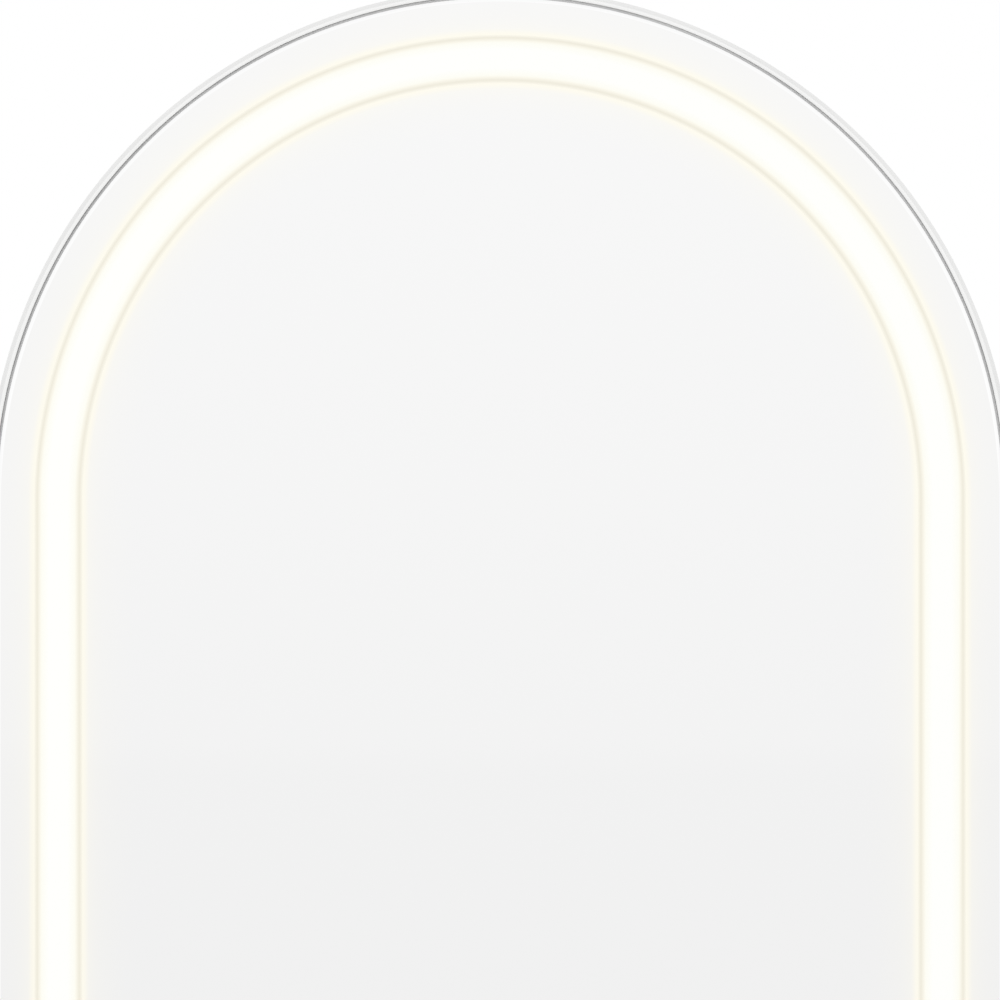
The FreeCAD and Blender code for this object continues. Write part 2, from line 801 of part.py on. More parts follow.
def stand_tube():
    """The U-shaped tube of the stand: two legs and the foot bar, bent in one piece."""
    body = new_body("stand_tube")
    across, top, low, bend = float(hinge_x), float(tube_top), -float(stand_length), float(size.tube_bend)
    outline = plan_view(body, tube_top)
    circle(outline, -hinge_x, ZERO, size.tube_radius)
    circle(outline, -hinge_x, ZERO, size.tube_radius - size.tube_wall)
    path = front_view(body, ZERO)
    left = path.addGeometry(Part.LineSegment(Vector(-across, top), Vector(-across, low + bend)))
    left_bend = Part.Circle(Vector(bend - across, low + bend), Vector(0, 0, 1), bend)
    left_arc = path.addGeometry(Part.ArcOfCircle(left_bend, math.pi, 1.5 * math.pi))
    bar = path.addGeometry(Part.LineSegment(Vector(bend - across, low), Vector(across - bend, low)))
    right_bend = Part.Circle(Vector(across - bend, low + bend), Vector(0, 0, 1), bend)
    right_arc = path.addGeometry(Part.ArcOfCircle(right_bend, 1.5 * math.pi, 2 * math.pi))
    right = path.addGeometry(Part.LineSegment(Vector(across, low + bend), Vector(across, top)))
    path.addConstraint(Sketcher.Constraint("Tangent", left, 2, left_arc, 1))
    path.addConstraint(Sketcher.Constraint("Tangent", left_arc, 2, bar, 1))
    path.addConstraint(Sketcher.Constraint("Tangent", bar, 2, right_arc, 1))
    path.addConstraint(Sketcher.Constraint("Tangent", right_arc, 2, right, 1))
    path.addConstraint(Sketcher.Constraint("Vertical", left))
    path.addConstraint(Sketcher.Constraint("Vertical", right))
    path.addConstraint(Sketcher.Constraint("Equal", left_arc, right_arc))
    pin_point(path, left, 1, -hinge_x, tube_top)
    pin_point(path, right, 2, hinge_x, tube_top)
    rule = path.addConstraint(Sketcher.Constraint("Radius", left_arc, bend))
    bind(path, f"Constraints[{rule}]", size.tube_bend)
    rule = path.addConstraint(Sketcher.Constraint("DistanceY", -1, 1, bar, 1, low))
    bind(path, f"Constraints[{rule}]", -stand_length)
    sweep = body.newObject("PartDesign::AdditivePipe", "stand_tube_sweep")
    sweep.Profile = outline
    sweep.Spine = (path, [f"Edge{number}" for number in range(1, 6)])
    return place_on_stand(body)


def stand_lug(label, side):
    """A turned plug in the tube's end, milled to a flat tongue that turns on the hinge pin."""
    body = new_body(label)
    radius = size.tube_radius
    blade = side_view(body, ZERO)
    rectangle(blade, ZERO, -size.tongue_reach / 2, radius * 2, size.tongue_reach)
    pad(body, blade, size.tongue_thickness, both_ways=True)
    crown = side_view(body, ZERO)
    circle(crown, ZERO, ZERO, radius)
    pad(body, crown, size.tongue_thickness, both_ways=True)
    collar = plan_view(body, -size.tongue_reach)
    circle(collar, ZERO, ZERO, radius)
    pad(body, collar, size.lug_collar, reverse=True)
    spigot = plan_view(body, tube_top)
    circle(spigot, ZERO, ZERO, radius - size.tube_wall - size.pin_play)
    pad(body, spigot, size.lug_spigot, reverse=True)
    eye = side_view(body, ZERO)
    circle(eye, ZERO, ZERO, size.pin_radius + size.pin_play)
    pocket(body, eye)
    return place_on_stand(body, hinge_x * side)


def stand_sleeve(label, side):
    """A rubber sleeve on the foot bar, where the stand meets the floor."""
    body = new_body(label)
    ring = side_view(body, ZERO)
    circle(ring, ZERO, -stand_length, sleeve_radius)
    circle(ring, ZERO, -stand_length, size.tube_radius)
    pad(body, ring, size.sleeve_length, both_ways=True)
    return place_on_stand(body, sleeve_x * side)


def foot(label, side):
    """A rubber wedge under the frame whose sole lies flat on the floor."""
    body = new_body(label)
    front, back = size.foot_margin, size.frame_depth - size.foot_margin

    def sole(depth):
        return -(base_z - depth * lean_sine) / lean_cosine

    outline = side_view(body, ZERO)
    polygon(outline, [(front, ZERO), (back, ZERO), (back, sole(back)), (front, sole(front))])
    pad(body, outline, size.foot_length, both_ways=True)
    return place(body, x=foot_x * side)


def touch_board():
    """The touch sensor's circuit board, stuck to the back of the glass, with its lead's socket."""
    body = new_body("touch_board")
    board = front_view(body, silvering_back)
    rectangle(board, ZERO, size.touch_height, size.touch_board_width, size.touch_board_height)
    pad(body, board, size.board_thickness, reverse=True)
    socket = front_view(body, touch_back)
    rectangle(socket, ZERO, size.touch_height, size.socket_width, size.socket_height)
    pad(body, socket, size.socket_depth, reverse=True)
    return place(body)


def controller_case():
    """The driver's box on the inside of the back panel, open to the front, with two rests for its board."""
    body = new_body("controller_case")
    outline = front_view(body, controller_front)
    rectangle(outline, size.controller_x, size.controller_z, size.controller_width, size.controller_height)
    pad(body, outline, size.controller_depth, reverse=True)
    wall, rest = size.controller_wall, size.board_rest_width
    cavity = front_view(body, controller_front)
    inner_width, inner_height = size.controller_width - wall * 2, size.controller_height - wall * 2
    rectangle(cavity, size.controller_x, size.controller_z, inner_width, inner_height)
    pocket(body, cavity, size.controller_depth - wall)
    rests = front_view(body, panel_front - wall)
    for side in (-1, 1):
        across = size.controller_x + (inner_width - rest) / 2 * side
        rectangle(rests, across, size.controller_z, rest, inner_height)
    pad(body, rests, size.board_rest_height)
    return place(body)


def controller_board():
    """The driver's circuit board on the case's rests."""
    body = new_body("controller_board")
    room = (size.controller_wall + size.controller_board_play) * 2
    back = panel_front - size.controller_wall - size.board_rest_height
    outline = front_view(body, back - size.board_thickness)
    width, height = size.controller_width - room, size.controller_height - room
    rectangle(outline, size.controller_x, size.controller_z, width, height)
    pad(body, outline, size.board_thickness, reverse=True)
    return place(body)


def controller_lid():
    """The flat lid of the driver's box."""
    body = new_body("controller_lid")
    outline = front_view(body, controller_front - size.controller_lid)
    rectangle(outline, size.controller_x, size.controller_z, size.controller_width, size.controller_height)
    pad(body, outline, size.controller_lid, reverse=True)
    return place(body)


def inlet_body():
    """The round power inlet: a flange outside the panel, a body through it and a socket bore."""
    body = new_body("inlet_body")
    flange = front_view(body, panel_back)
    circle(flange, size.inlet_x, size.inlet_z, size.inlet_flange_radius)
    pad(body, flange, size.inlet_flange, reverse=True)
    barrel = front_view(body, panel_back)
    circle(barrel, size.inlet_x, size.inlet_z, size.inlet_body_radius)
    pad(body, barrel, size.inlet_body_length)
    terminal = front_view(body, inlet_rear)
    rectangle(terminal, size.inlet_x, size.inlet_z, size.terminal_width, size.terminal_width)
    pad(body, terminal, size.terminal_depth)
    bore = front_view(body, inlet_outer)
    circle(bore, size.inlet_x, size.inlet_z, size.inlet_bore_radius)
    pocket(body, bore, size.inlet_bore_depth, reverse=True)
    return place(body)


def inlet_pin():
    """The centre contact of the power inlet."""
    body = new_body("inlet_pin")
    bottom = inlet_outer - size.inlet_bore_depth
    outline = front_view(body, bottom)
    circle(outline, size.inlet_x, size.inlet_z, size.inlet_pin_radius)
    pad(body, outline, size.inlet_bore_depth - size.inlet_pin_recess, reverse=True)
    return place(body)


def inlet_nut():
    """The six-sided nut that holds the inlet from inside the panel."""
    body = new_body("inlet_nut")
    outline = front_view(body, panel_front - size.inlet_nut_height)
    corners = []
    for step in range(6):
        x = size.inlet_x + size.inlet_nut_radius * cosine(60 * step)
        corners.append((x, size.inlet_z + size.inlet_nut_radius * sine(60 * step)))
    polygon(outline, corners)
    circle(outline, size.inlet_x, size.inlet_z, size.inlet_body_radius + size.inlet_hole_play)
    pad(body, outline, size.inlet_nut_height, reverse=True)
    return place(body)


# Frame and glass
frame_hoop()
frame_bottom_rail()
for name, hand in (("left", -1), ("right", 1)):
    corner_key(f"corner_key_{name}", hand)
mirror_glass()
edge_seal()
silvering()
mounting_tape()

# Light band
led_tray()
diffuser()
led_strip()
led_chips()

# Back panel, rails and hangers
back_panel()
cross_rail("hinge_rail", size.hinge_height, size.hinge_rail_height)
cross_rail("hanger_rail", hanger_z, size.hanger_rail_height)
for name, hand in (("left", -1), ("right", 1)):
    wall_hanger(f"wall_hanger_{name}", hand)

# Hinges and stand
for name, hand in (("left", -1), ("right", 1)):
    hinge_bracket(f"hinge_bracket_{name}", hand)
    hinge_pin(f"hinge_pin_{name}", hand)
    stop_pin(f"stop_pin_{name}", hand)
hinge_washers()
stand_tube()
for name, hand in (("left", -1), ("right", 1)):
    stand_lug(f"stand_lug_{name}", hand)
    stand_sleeve(f"stand_sleeve_{name}", hand)
    foot(f"foot_{name}", hand)

# Electrics
touch_board()
controller_case()
controller_board()
controller_lid()
inlet_body()
inlet_pin()
inlet_nut()

doc.recompute()
for thing in doc.Objects:
    if "Invalid" in thing.State or "Error" in thing.State:
        raise RuntimeError(f"{thing.Label} failed: {thing.State}")
for node in nodes:
    if node.Shape.isNull() or not node.Shape.isValid():
        raise RuntimeError(f"{node.Label} has no sound shape")

os.makedirs("parts", exist_ok=True)
for node in nodes:
    node.Shape.exportStep(f"parts/{node.Label}.step")
    print(f"{node.Label}: {len(node.Shape.Solids)} solid(s), {node.Shape.Volume:.1f} mm3")
print(f"hinge axis at Y {float(base_y + hinge_run):.4f}, Z {float(hinge_floor_z):.4f} mm")
print(f"stand opens {float(open_angle):.2f} degrees, legs {float(stand_length):.2f} mm long")
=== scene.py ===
"""Looks of an arch-topped lighted mirror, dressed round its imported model.

New pieces are drawn upright in the mirror's own frame: X to the right, Y from the front face
towards the back, Z up from the frame's bottom edge.  One common matrix then leans them back onto
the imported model.  Lengths are in metres, and places across the mirror's face are given as insets
from its outer outline.
"""
import json
import logging
import math
from dataclasses import dataclass, field
from enum import Enum

import bmesh
import bpy
from mathutils import Matrix, Vector


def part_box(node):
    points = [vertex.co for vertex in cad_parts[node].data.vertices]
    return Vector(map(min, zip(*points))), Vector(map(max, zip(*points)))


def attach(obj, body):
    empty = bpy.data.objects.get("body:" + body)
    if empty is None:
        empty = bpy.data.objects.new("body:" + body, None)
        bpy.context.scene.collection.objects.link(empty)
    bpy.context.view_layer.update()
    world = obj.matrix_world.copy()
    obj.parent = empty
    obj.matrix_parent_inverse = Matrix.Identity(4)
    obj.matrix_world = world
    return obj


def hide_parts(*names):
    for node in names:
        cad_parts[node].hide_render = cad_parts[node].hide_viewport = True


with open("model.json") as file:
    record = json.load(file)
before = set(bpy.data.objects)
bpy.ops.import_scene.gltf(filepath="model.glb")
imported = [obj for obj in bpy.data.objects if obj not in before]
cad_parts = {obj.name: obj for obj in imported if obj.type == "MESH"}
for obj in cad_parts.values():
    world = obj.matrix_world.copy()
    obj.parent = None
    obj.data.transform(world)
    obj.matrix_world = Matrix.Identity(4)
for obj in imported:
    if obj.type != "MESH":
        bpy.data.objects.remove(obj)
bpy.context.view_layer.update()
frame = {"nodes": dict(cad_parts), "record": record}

log = logging.getLogger("lighted_mirror")

Colour = tuple[float, float, float]
Place = tuple[float, float, float]
Point = tuple[float, float]
Chain = list[bmesh.types.BMEdge]
Element = bmesh.types.BMVert | bmesh.types.BMEdge | bmesh.types.BMFace
Socket = bpy.types.NodeSocket
SIDES = ("left", "right")

# Inset of the pane's edge, and depths behind the frame's front face, that several pieces share
PANE_EDGE = 0.006
PANE_FRONT = 0.0015
GLASS_BACK = 0.0065
SILVERING_BACK = 0.0067
COVER_FRONT = 0.0286
COVER_BACK = 0.0316

# Nearer than SNUG, places match in spite of a sweep's rounding; nearer than MERGE, vertices are doubles
SNUG = 0.00001
MERGE = 0.000001

# Most of a noise texture's values lie in this range
NOISE_RANGE = (0.3, 0.7)


class Body(Enum):
    """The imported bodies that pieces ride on."""

    MIRROR = "mirror"
    STAND = "stand"


class Slot(Enum):
    """The record's material slots."""

    FRAME = "frame_finish"
    GLASS = "clear_glass"
    SILVER = "mirror_silver"
    SEAL = "seal_rubber"
    TAPE = "foam_tape"
    TRAY = "tray_white"
    OPAL = "opal_sheet"
    LED = "led_light"
    STRIP = "strip_white"
    PANEL = "panel_board"
    ZINC = "rail_steel"
    PAINT = "stand_paint"
    STEEL = "pin_steel"
    NYLON = "washer_nylon"
    RUBBER = "foot_rubber"
    CIRCUIT = "board_green"
    CASE = "case_black"
    BRASS = "contact_brass"


class Stretch(Enum):
    """How much of the mirror's outline a swept section follows."""

    WHOLE = "whole"
    HOOP = "hoop"
    SILL = "sill"


class Grain(Enum):
    """The kinds of raised grain on a surface."""

    SPECKLE = "speckle"
    PEBBLE = "pebble"


@dataclass(frozen=True)
class Lean:
    """Where the upright mirror's own frame stands once it leans back."""

    angle: float
    foot: Vector

    @classmethod
    def of_packed_model(cls) -> "Lean":
        """Read the lean from a hanger's axis and the foot from the silvering's box.

        Returns:
            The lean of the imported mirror.
        """
        axis = next(mount["axis"] for mount in frame["record"]["mounts"] if mount["name"] == "hanger_left")
        angle = math.atan2(-axis[2], axis[1])
        low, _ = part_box("silvering")
        turn = Matrix.Rotation(-angle, 3, "X")
        front = turn @ Vector((0, GLASS_BACK, PANE_EDGE))
        back = turn @ Vector((0, SILVERING_BACK, PANE_EDGE))
        return cls(angle, Vector((0, low.y - front.y, low.z - back.z)))

    def matrix(self) -> Matrix:
        """The matrix from the mirror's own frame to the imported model's."""
        return Matrix.Translation(self.foot) @ Matrix.Rotation(-self.angle, 4, "X")

    def settle(self, bm: bmesh.types.BMesh) -> None:
        """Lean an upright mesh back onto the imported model."""
        bmesh.ops.transform(bm, matrix=self.matrix(), verts=bm.verts)


@dataclass(frozen=True)
class ArchPath:
    """The mirror's outer outline: a flat bottom, two sides and a half-round top."""

    half_width: float = 0.305
    height: float = 1.8
    arc_steps: int = 128
    mitre_gap: float = 0.00015

    @property
    def centre(self) -> float:
        """Height of the arch's centre."""
        return self.height - self.half_width

    def inset(self, place: Vector) -> float:
        """Distance of a place inwards from the outline."""
        reach = math.hypot(place.x, max(place.z - self.centre, 0.0))
        return min(self.half_width - reach, place.z)

    def along(self, bm: bmesh.types.BMesh, corner: Point) -> Chain:
        """Find the edges that a corner of a swept section has drawn along the outline.

        Args:
            bm: The swept mesh.
            corner: The corner's inset and depth.

        Returns:
            The edges.
        """
        inset, depth = corner
        line = {vert for vert in bm.verts
                if abs(self.inset(vert.co) - inset) < SNUG and abs(vert.co.y - depth) < SNUG}
        return [edge for edge in bm.edges if line.issuperset(edge.verts)]

    def over_arch(self, bm: bmesh.types.BMesh, geom: list[Element]) -> list[Element]:
        """Spin geometry over the arch, from its right end to its left one.

        Args:
            bm: The mesh that it is in.
            geom: Vertices and edges at the right end.

        Returns:
            The geometry at the left end.
        """
        return bmesh.ops.spin(bm, geom=geom, cent=(0, 0, self.centre), axis=(0, -1, 0), angle=math.pi,
                              steps=self.arc_steps)["geom_last"]

    def loop(self, bm: bmesh.types.BMesh, inset: float, depth: float) -> Chain:
        """Draw the whole outline, set in from the outer one.

        Args:
            bm: The mesh to draw in.
            inset: Distance inwards from the outer outline.
            depth: Distance behind the front face.

        Returns:
            The edges of the loop.
        """
        before = set(bm.edges)
        reach = self.half_width - inset
        right = bm.verts.new((reach, depth, inset))
        left = bm.verts.new((-reach, depth, inset))
        spring = bm.verts.new((reach, depth, self.centre))
        last, = only(bmesh.types.BMVert, self.over_arch(bm, [spring]))
        for pair in ((right, spring), (last, left), (left, right)):
            bm.edges.new(pair)
        return [edge for edge in bm.edges if edge not in before]


def only(kind: type, geom: list[Element]) -> list[Element]:
    """The items of one kind in some geometry."""
    return [item for item in geom if isinstance(item, kind)]


def extrude(bm: bmesh.types.BMesh, edges: Chain) -> tuple[list[bmesh.types.BMVert], Chain]:
    """Draw a wall out of some edges.

    Args:
        bm: The mesh that they are in.
        edges: The edges.

    Returns:
        The wall's new vertices, still on the old ones, and its new edges.
    """
    made = bmesh.ops.extrude_edge_only(bm, edges=edges)["geom"]
    return only(bmesh.types.BMVert, made), only(bmesh.types.BMEdge, made)


def sweep(bm: bmesh.types.BMesh, path: ArchPath, section: list[Point], stretch: Stretch) -> None:
    """Carry a closed section along the outline: up the right side, over the arch, down the left and back.

    Args:
        bm: The mesh to draw in.
        path: The outline to follow.
        section: Corners of the section, each an inset and a depth.
        stretch: The stretch of the outline to follow; an open one gets end faces.
    """
    gap = path.mitre_gap if stretch is Stretch.HOOP else 0.0
    verts = [bm.verts.new((path.half_width - inset, depth, inset + gap)) for inset, depth in section]
    edges = [bm.edges.new(pair) for pair in zip(verts, verts[1:] + verts[:1])]
    if stretch is not Stretch.SILL:
        verts, edges = extrude(bm, edges)
        for vert in verts:
            vert.co.z = path.centre
        verts, edges = extrude(bm, only(bmesh.types.BMEdge, path.over_arch(bm, verts + edges)))
        for vert in verts:
            vert.co.z = path.half_width + vert.co.x + gap
    if stretch is not Stretch.HOOP:
        verts, edges = extrude(bm, edges)
        bmesh.ops.scale(bm, vec=(-1, 1, 1), verts=verts)
    if stretch is Stretch.WHOLE:
        bmesh.ops.remove_doubles(bm, verts=bm.verts, dist=SNUG)
    else:
        bmesh.ops.holes_fill(bm, edges=[edge for edge in bm.edges if edge.is_boundary], sides=0)
    bmesh.ops.recalc_face_normals(bm, faces=bm.faces)


def quarter_round(steps: int) -> list[Point]:
    """Points of a quarter of a unit circle, from (0, 1) to (1, 0)."""
    angles = [math.pi / 2 * step / steps for step in range(steps + 1)]
    return [(math.sin(angle), math.cos(angle)) for angle in angles]


def lathe(bm: bmesh.types.BMesh, outline: list[Point], closed: bool, steps: int = 48) -> None:
    """Turn an outline about the Y axis.

    Args:
        bm: The mesh to draw in.
        outline: Points of the outline, each a radius and a distance along the axis.
        closed: Whether the last point joins the first one.
        steps: How many facets the turned shape has.
    """
    points = [bm.verts.new((radius, along, 0)) for radius, along in outline]
    followers = points[1:] + points[:1] if closed else points[1:]
    edges = [bm.edges.new(pair) for pair in zip(points, followers)]
    bmesh.ops.spin(bm, geom=points + edges, cent=(0, 0, 0), axis=(0, 1, 0), angle=2 * math.pi, steps=steps,
                   use_merge=True)
    bmesh.ops.remove_doubles(bm, verts=bm.verts, dist=MERGE)
    bmesh.ops.recalc_face_normals(bm, faces=bm.faces)


def soften(bm: bmesh.types.BMesh, edges: Chain, width: float, segments: int) -> None:
    """Round edges of a mesh.

    Args:
        bm: The mesh.
        edges: The edges.
        width: How far the rounding reaches from each edge.
        segments: How many facets it has.
    """
    bmesh.ops.bevel(bm, geom=edges, offset=width, offset_type="OFFSET", segments=segments, profile=0.5,
                    affect="EDGES", material=-1, clamp_overlap=True)


def shade(bm: bmesh.types.BMesh, crease: float = math.radians(32)) -> None:
    """Shade a mesh smooth between its sharp edges.

    Args:
        bm: The mesh.
        crease: The turn between two faces above which their edge is sharp.
    """
    for face in bm.faces:
        face.smooth = True
    for edge in bm.edges:
        if len(edge.link_faces) == 2 and edge.calc_face_angle(0) > crease:
            edge.smooth = False


def mesh_of(name: str, bm: bmesh.types.BMesh) -> bpy.types.Mesh:
    """Turn a finished bmesh into a mesh, and free it.

    Args:
        name: The mesh's name.
        bm: The bmesh.

    Returns:
        The mesh.
    """
    mesh = bpy.data.meshes.new(name)
    bm.to_mesh(mesh)
    bm.free()
    return mesh


def put(name: str, data: bpy.types.ID) -> bpy.types.Object:
    """Put an object into the scene.

    Args:
        name: The object's name.
        data: Its mesh, lamp or camera.

    Returns:
        The object.
    """
    thing = bpy.data.objects.new(name, data)
    bpy.context.scene.collection.objects.link(thing)
    return thing


def deliver(name: str, bm: bmesh.types.BMesh, material: bpy.types.Material, slot: Slot, *replaced: str,
            body: Body = Body.MIRROR) -> None:
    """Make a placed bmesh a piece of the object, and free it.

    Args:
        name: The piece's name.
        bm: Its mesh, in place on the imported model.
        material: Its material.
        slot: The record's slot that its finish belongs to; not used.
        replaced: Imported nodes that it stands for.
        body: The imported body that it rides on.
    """
    shade(bm)
    mesh = mesh_of(name, bm)
    mesh.materials.append(material)
    piece = put(name, mesh)
    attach(piece, body.value)
    if replaced:
        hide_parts(*replaced)
    log.info("%s: %d faces", name, len(mesh.polygons))


def grey(level: float) -> Colour:
    """The grey of a level."""
    return level, level, level


def opaque(colour: Colour) -> tuple[float, ...]:
    """A colour with full alpha, as a socket holds it."""
    return *colour, 1.0


class NodeBench:
    """Adds and joins the nodes of one node tree."""

    def __init__(self, tree: bpy.types.NodeTree) -> None:
        """Take the tree to work on."""
        self.tree = tree

    def add(self, kind: str, **settings: object) -> bpy.types.Node:
        """Add a node.

        Args:
            kind: The node's type.
            settings: The node's own properties.

        Returns:
            The new node.
        """
        node = self.tree.nodes.new(kind)
        for name, value in settings.items():
            setattr(node, name, value)
        return node

    def join(self, source: Socket, target: Socket) -> None:
        """Link an output to an input."""
        self.tree.links.new(source, target)

    def math(self, operation: str, *terms: "Socket | float") -> Socket:
        """Add a Math node.

        Args:
            operation: The node's operation.
            terms: Its inputs, each a number or an output of another node.

        Returns:
            The node's output.
        """
        node = self.add("ShaderNodeMath", operation=operation)
        for socket, term in zip(node.inputs, terms):
            if isinstance(term, Socket):
                self.join(term, socket)
            else:
                socket.default_value = term
        return node.outputs[0]

    def parts(self, vector: Socket) -> tuple[Socket, Socket, Socket]:
        """Split a vector into its three parts.

        Args:
            vector: The vector.

        Returns:
            Its X, Y and Z.
        """
        node = self.add("ShaderNodeSeparateXYZ")
        self.join(vector, node.inputs[0])
        return tuple(node.outputs)

    def mix(self, share: Socket, first: "Socket | Colour", second: "Socket | Colour") -> Socket:
        """Mix two colours.

        Args:
            share: The second colour's share.
            first: The first colour, as itself or as an output.
            second: The second colour, as itself or as an output.

        Returns:
            The mixed colour's output.
        """
        node = self.add("ShaderNodeMix", data_type="RGBA")
        self.join(share, node.inputs["Factor"])
        for name, colour in (("A", first), ("B", second)):
            socket = next(item for item in node.inputs if item.name == name and item.type == "RGBA")
            if isinstance(colour, Socket):
                self.join(colour, socket)
            else:
                socket.default_value = opaque(colour)
        return next(item for item in node.outputs if item.type == "RGBA")

    def ramp(self, value: Socket, stops: list[tuple[float, Colour]]) -> Socket:
        """Turn a value into a colour.

        Args:
            value: The value, from the first stop's place to the last one's.
            stops: Places in rising order, each with its colour.

        Returns:
            The colour's output.
        """
        first, last = stops[0][0], stops[-1][0]
        share = self.math("DIVIDE", self.math("SUBTRACT", value, first), last - first)
        node = self.add("ShaderNodeValToRGB")
        elements = node.color_ramp.elements
        while len(elements) < len(stops):
            elements.new(1.0)
        for element, (place, colour) in zip(elements, stops):
            element.position = (place - first) / (last - first)
            element.color = opaque(colour)
        self.join(share, node.inputs["Fac"])
        return node.outputs["Color"]

    def grey_ramp(self, value: Socket, levels: tuple[Point, ...]) -> Socket:
        """Turn a value into a grey level."""
        return self.ramp(value, [(place, grey(level)) for place, level in levels])

    def map_range(self, value: Socket, source: Point, target: Point, **settings: object) -> Socket:
        """Map a value from one range onto another.

        Args:
            value: The value.
            source: The range that it lies in.
            target: The range that it is mapped onto.
            settings: The node's own properties.

        Returns:
            The mapped value.
        """
        node = self.add("ShaderNodeMapRange", **settings)
        for name, limit in zip(("From Min", "From Max", "To Min", "To Max"), source + target):
            node.inputs[name].default_value = limit
        self.join(value, node.inputs["Value"])
        return node.outputs["Result"]

    def rays(self) -> tuple[Socket, Socket]:
        """Tell the camera's own rays and those that come by a mirror or through glass.

        Returns:
            An output that is 1 for the camera's rays, and one that is 1 for the others.
        """
        path = self.add("ShaderNodeLightPath").outputs
        mirrored = self.math("MAXIMUM", path["Is Glossy Ray"], path["Is Transmission Ray"])
        return path["Is Camera Ray"], mirrored


class MaterialBench(NodeBench):
    """Builds one material round its Principled shader."""

    def __init__(self, name: str) -> None:
        """Make a new material with a Principled shader.

        Args:
            name: The material's name.
        """
        self.material = bpy.data.materials.new(name)
        self.material.use_nodes = True
        super().__init__(self.material.node_tree)
        self.shader = self.tree.nodes["Principled BSDF"]

    def set(self, **values: float | tuple[float, ...]) -> None:
        """Set constant inputs of the shader, their names written with underscores."""
        for name, value in values.items():
            self.shader.inputs[name.replace("_", " ")].default_value = value

    def object_place(self) -> Socket:
        """The object coordinates."""
        return self.add("ShaderNodeTexCoord").outputs["Object"]

    def noise(self, vector: Socket, scale: float, detail: float) -> Socket:
        """Add a noise texture.

        Args:
            vector: Its coordinates.
            scale: Its scale.
            detail: Its detail.

        Returns:
            The noise's value.
        """
        node = self.add("ShaderNodeTexNoise")
        node.inputs["Scale"].default_value = scale
        node.inputs["Detail"].default_value = detail
        self.join(vector, node.inputs["Vector"])
        return node.outputs["Fac"]

    def pebbles(self, vector: Socket, scale: float) -> Socket:
        """Add a pattern of small rounded cells.

        Args:
            vector: Its coordinates.
            scale: Cells in a metre.

        Returns:
            The distance from each cell's middle.
        """
        node = self.add("ShaderNodeTexVoronoi", feature="SMOOTH_F1")
        node.inputs["Scale"].default_value = scale
        self.join(vector, node.inputs["Vector"])
        return node.outputs["Distance"]

    def spread(self, value: Socket, low: float, high: float) -> Socket:
        """Map the range of a noise onto two limits."""
        return self.map_range(value, NOISE_RANGE, (low, high))

    def bump(self, height: Socket, distance: float) -> None:
        """Raise the surface by a pattern.

        Args:
            height: The pattern.
            distance: The height of its full value.
        """
        node = self.add("ShaderNodeBump")
        node.inputs["Distance"].default_value = distance
        self.join(height, node.inputs["Height"])
        self.join(node.outputs["Normal"], self.shader.inputs["Normal"])

    def arch_place(self, lean: Lean, path: ArchPath) -> tuple[Socket, Socket, Socket]:
        """Find a point's place on the arch.

        Args:
            lean: The mirror's lean.
            path: The mirror's outer outline.

        Returns:
            The inset from the outline, the distance along it from the bottom, and the depth.
        """
        upright = lean.matrix().inverted()
        mapping = self.add("ShaderNodeMapping", vector_type="POINT")
        mapping.inputs["Location"].default_value = upright.to_translation()
        mapping.inputs["Rotation"].default_value = upright.to_euler()
        self.join(self.object_place(), mapping.inputs["Vector"])
        x, depth, height = self.parts(mapping.outputs["Vector"])
        across = self.math("ABSOLUTE", x)
        rise = self.math("MAXIMUM", self.math("SUBTRACT", height, path.centre), 0.0)
        squares = self.math("ADD", self.math("MULTIPLY", across, across), self.math("MULTIPLY", rise, rise))
        side = self.math("SUBTRACT", path.half_width, self.math("SQRT", squares))
        inset = self.math("MINIMUM", side, height)
        turn = self.math("MULTIPLY", self.math("ARCTAN2", rise, across), path.half_width)
        along = self.math("ADD", self.math("MINIMUM", height, path.centre), turn)
        return inset, along, depth


@dataclass(frozen=True)
class Finish:
    """A surface with a mottled colour, an uneven gloss and a fine raised grain."""

    name: str
    colour: Colour
    roughness: float
    metallic: float = 0.0
    mottle: float = 0.04
    mottle_scale: float = 14.0
    mottle_detail: float = 4.0
    gloss_spread: float = 0.05
    grain: Grain = Grain.SPECKLE
    grain_scale: float = 900.0
    grain_detail: float = 3.0
    grain_height: float = 0.00003
    glow: float = 0.0

    def pattern(self, bench: MaterialBench) -> Socket:
        """The coordinates that the grain follows."""
        return bench.object_place()

    def raised(self, bench: MaterialBench) -> Socket:
        """Find the grain's height.

        Args:
            bench: The material's bench.

        Returns:
            The height, from 0 to 1.
        """
        if self.grain is Grain.PEBBLE:
            return bench.pebbles(self.pattern(bench), self.grain_scale)
        return bench.noise(self.pattern(bench), self.grain_scale, self.grain_detail)

    def material(self) -> bpy.types.Material:
        """Make the material.

        Returns:
            A new material with the finish's nodes.
        """
        bench = MaterialBench(self.name)
        patches = bench.noise(bench.object_place(), self.mottle_scale, self.mottle_detail)
        dark = tuple(channel * (1 - self.mottle) for channel in self.colour)
        light = tuple(min(1.0, channel * (1 + self.mottle)) for channel in self.colour)
        tone = bench.ramp(bench.spread(patches, 0.0, 1.0), [(0.0, dark), (1.0, light)])
        bench.join(tone, bench.shader.inputs["Base Color"])
        bench.set(Metallic=self.metallic)
        grain = self.raised(bench)
        low, high = self.roughness - self.gloss_spread, self.roughness + self.gloss_spread
        bench.join(bench.spread(grain, low, high), bench.shader.inputs["Roughness"])
        bench.bump(grain, self.grain_height)
        if self.glow:
            bench.join(tone, bench.shader.inputs["Emission Color"])
            bench.set(Emission_Strength=self.glow)
        return bench.material


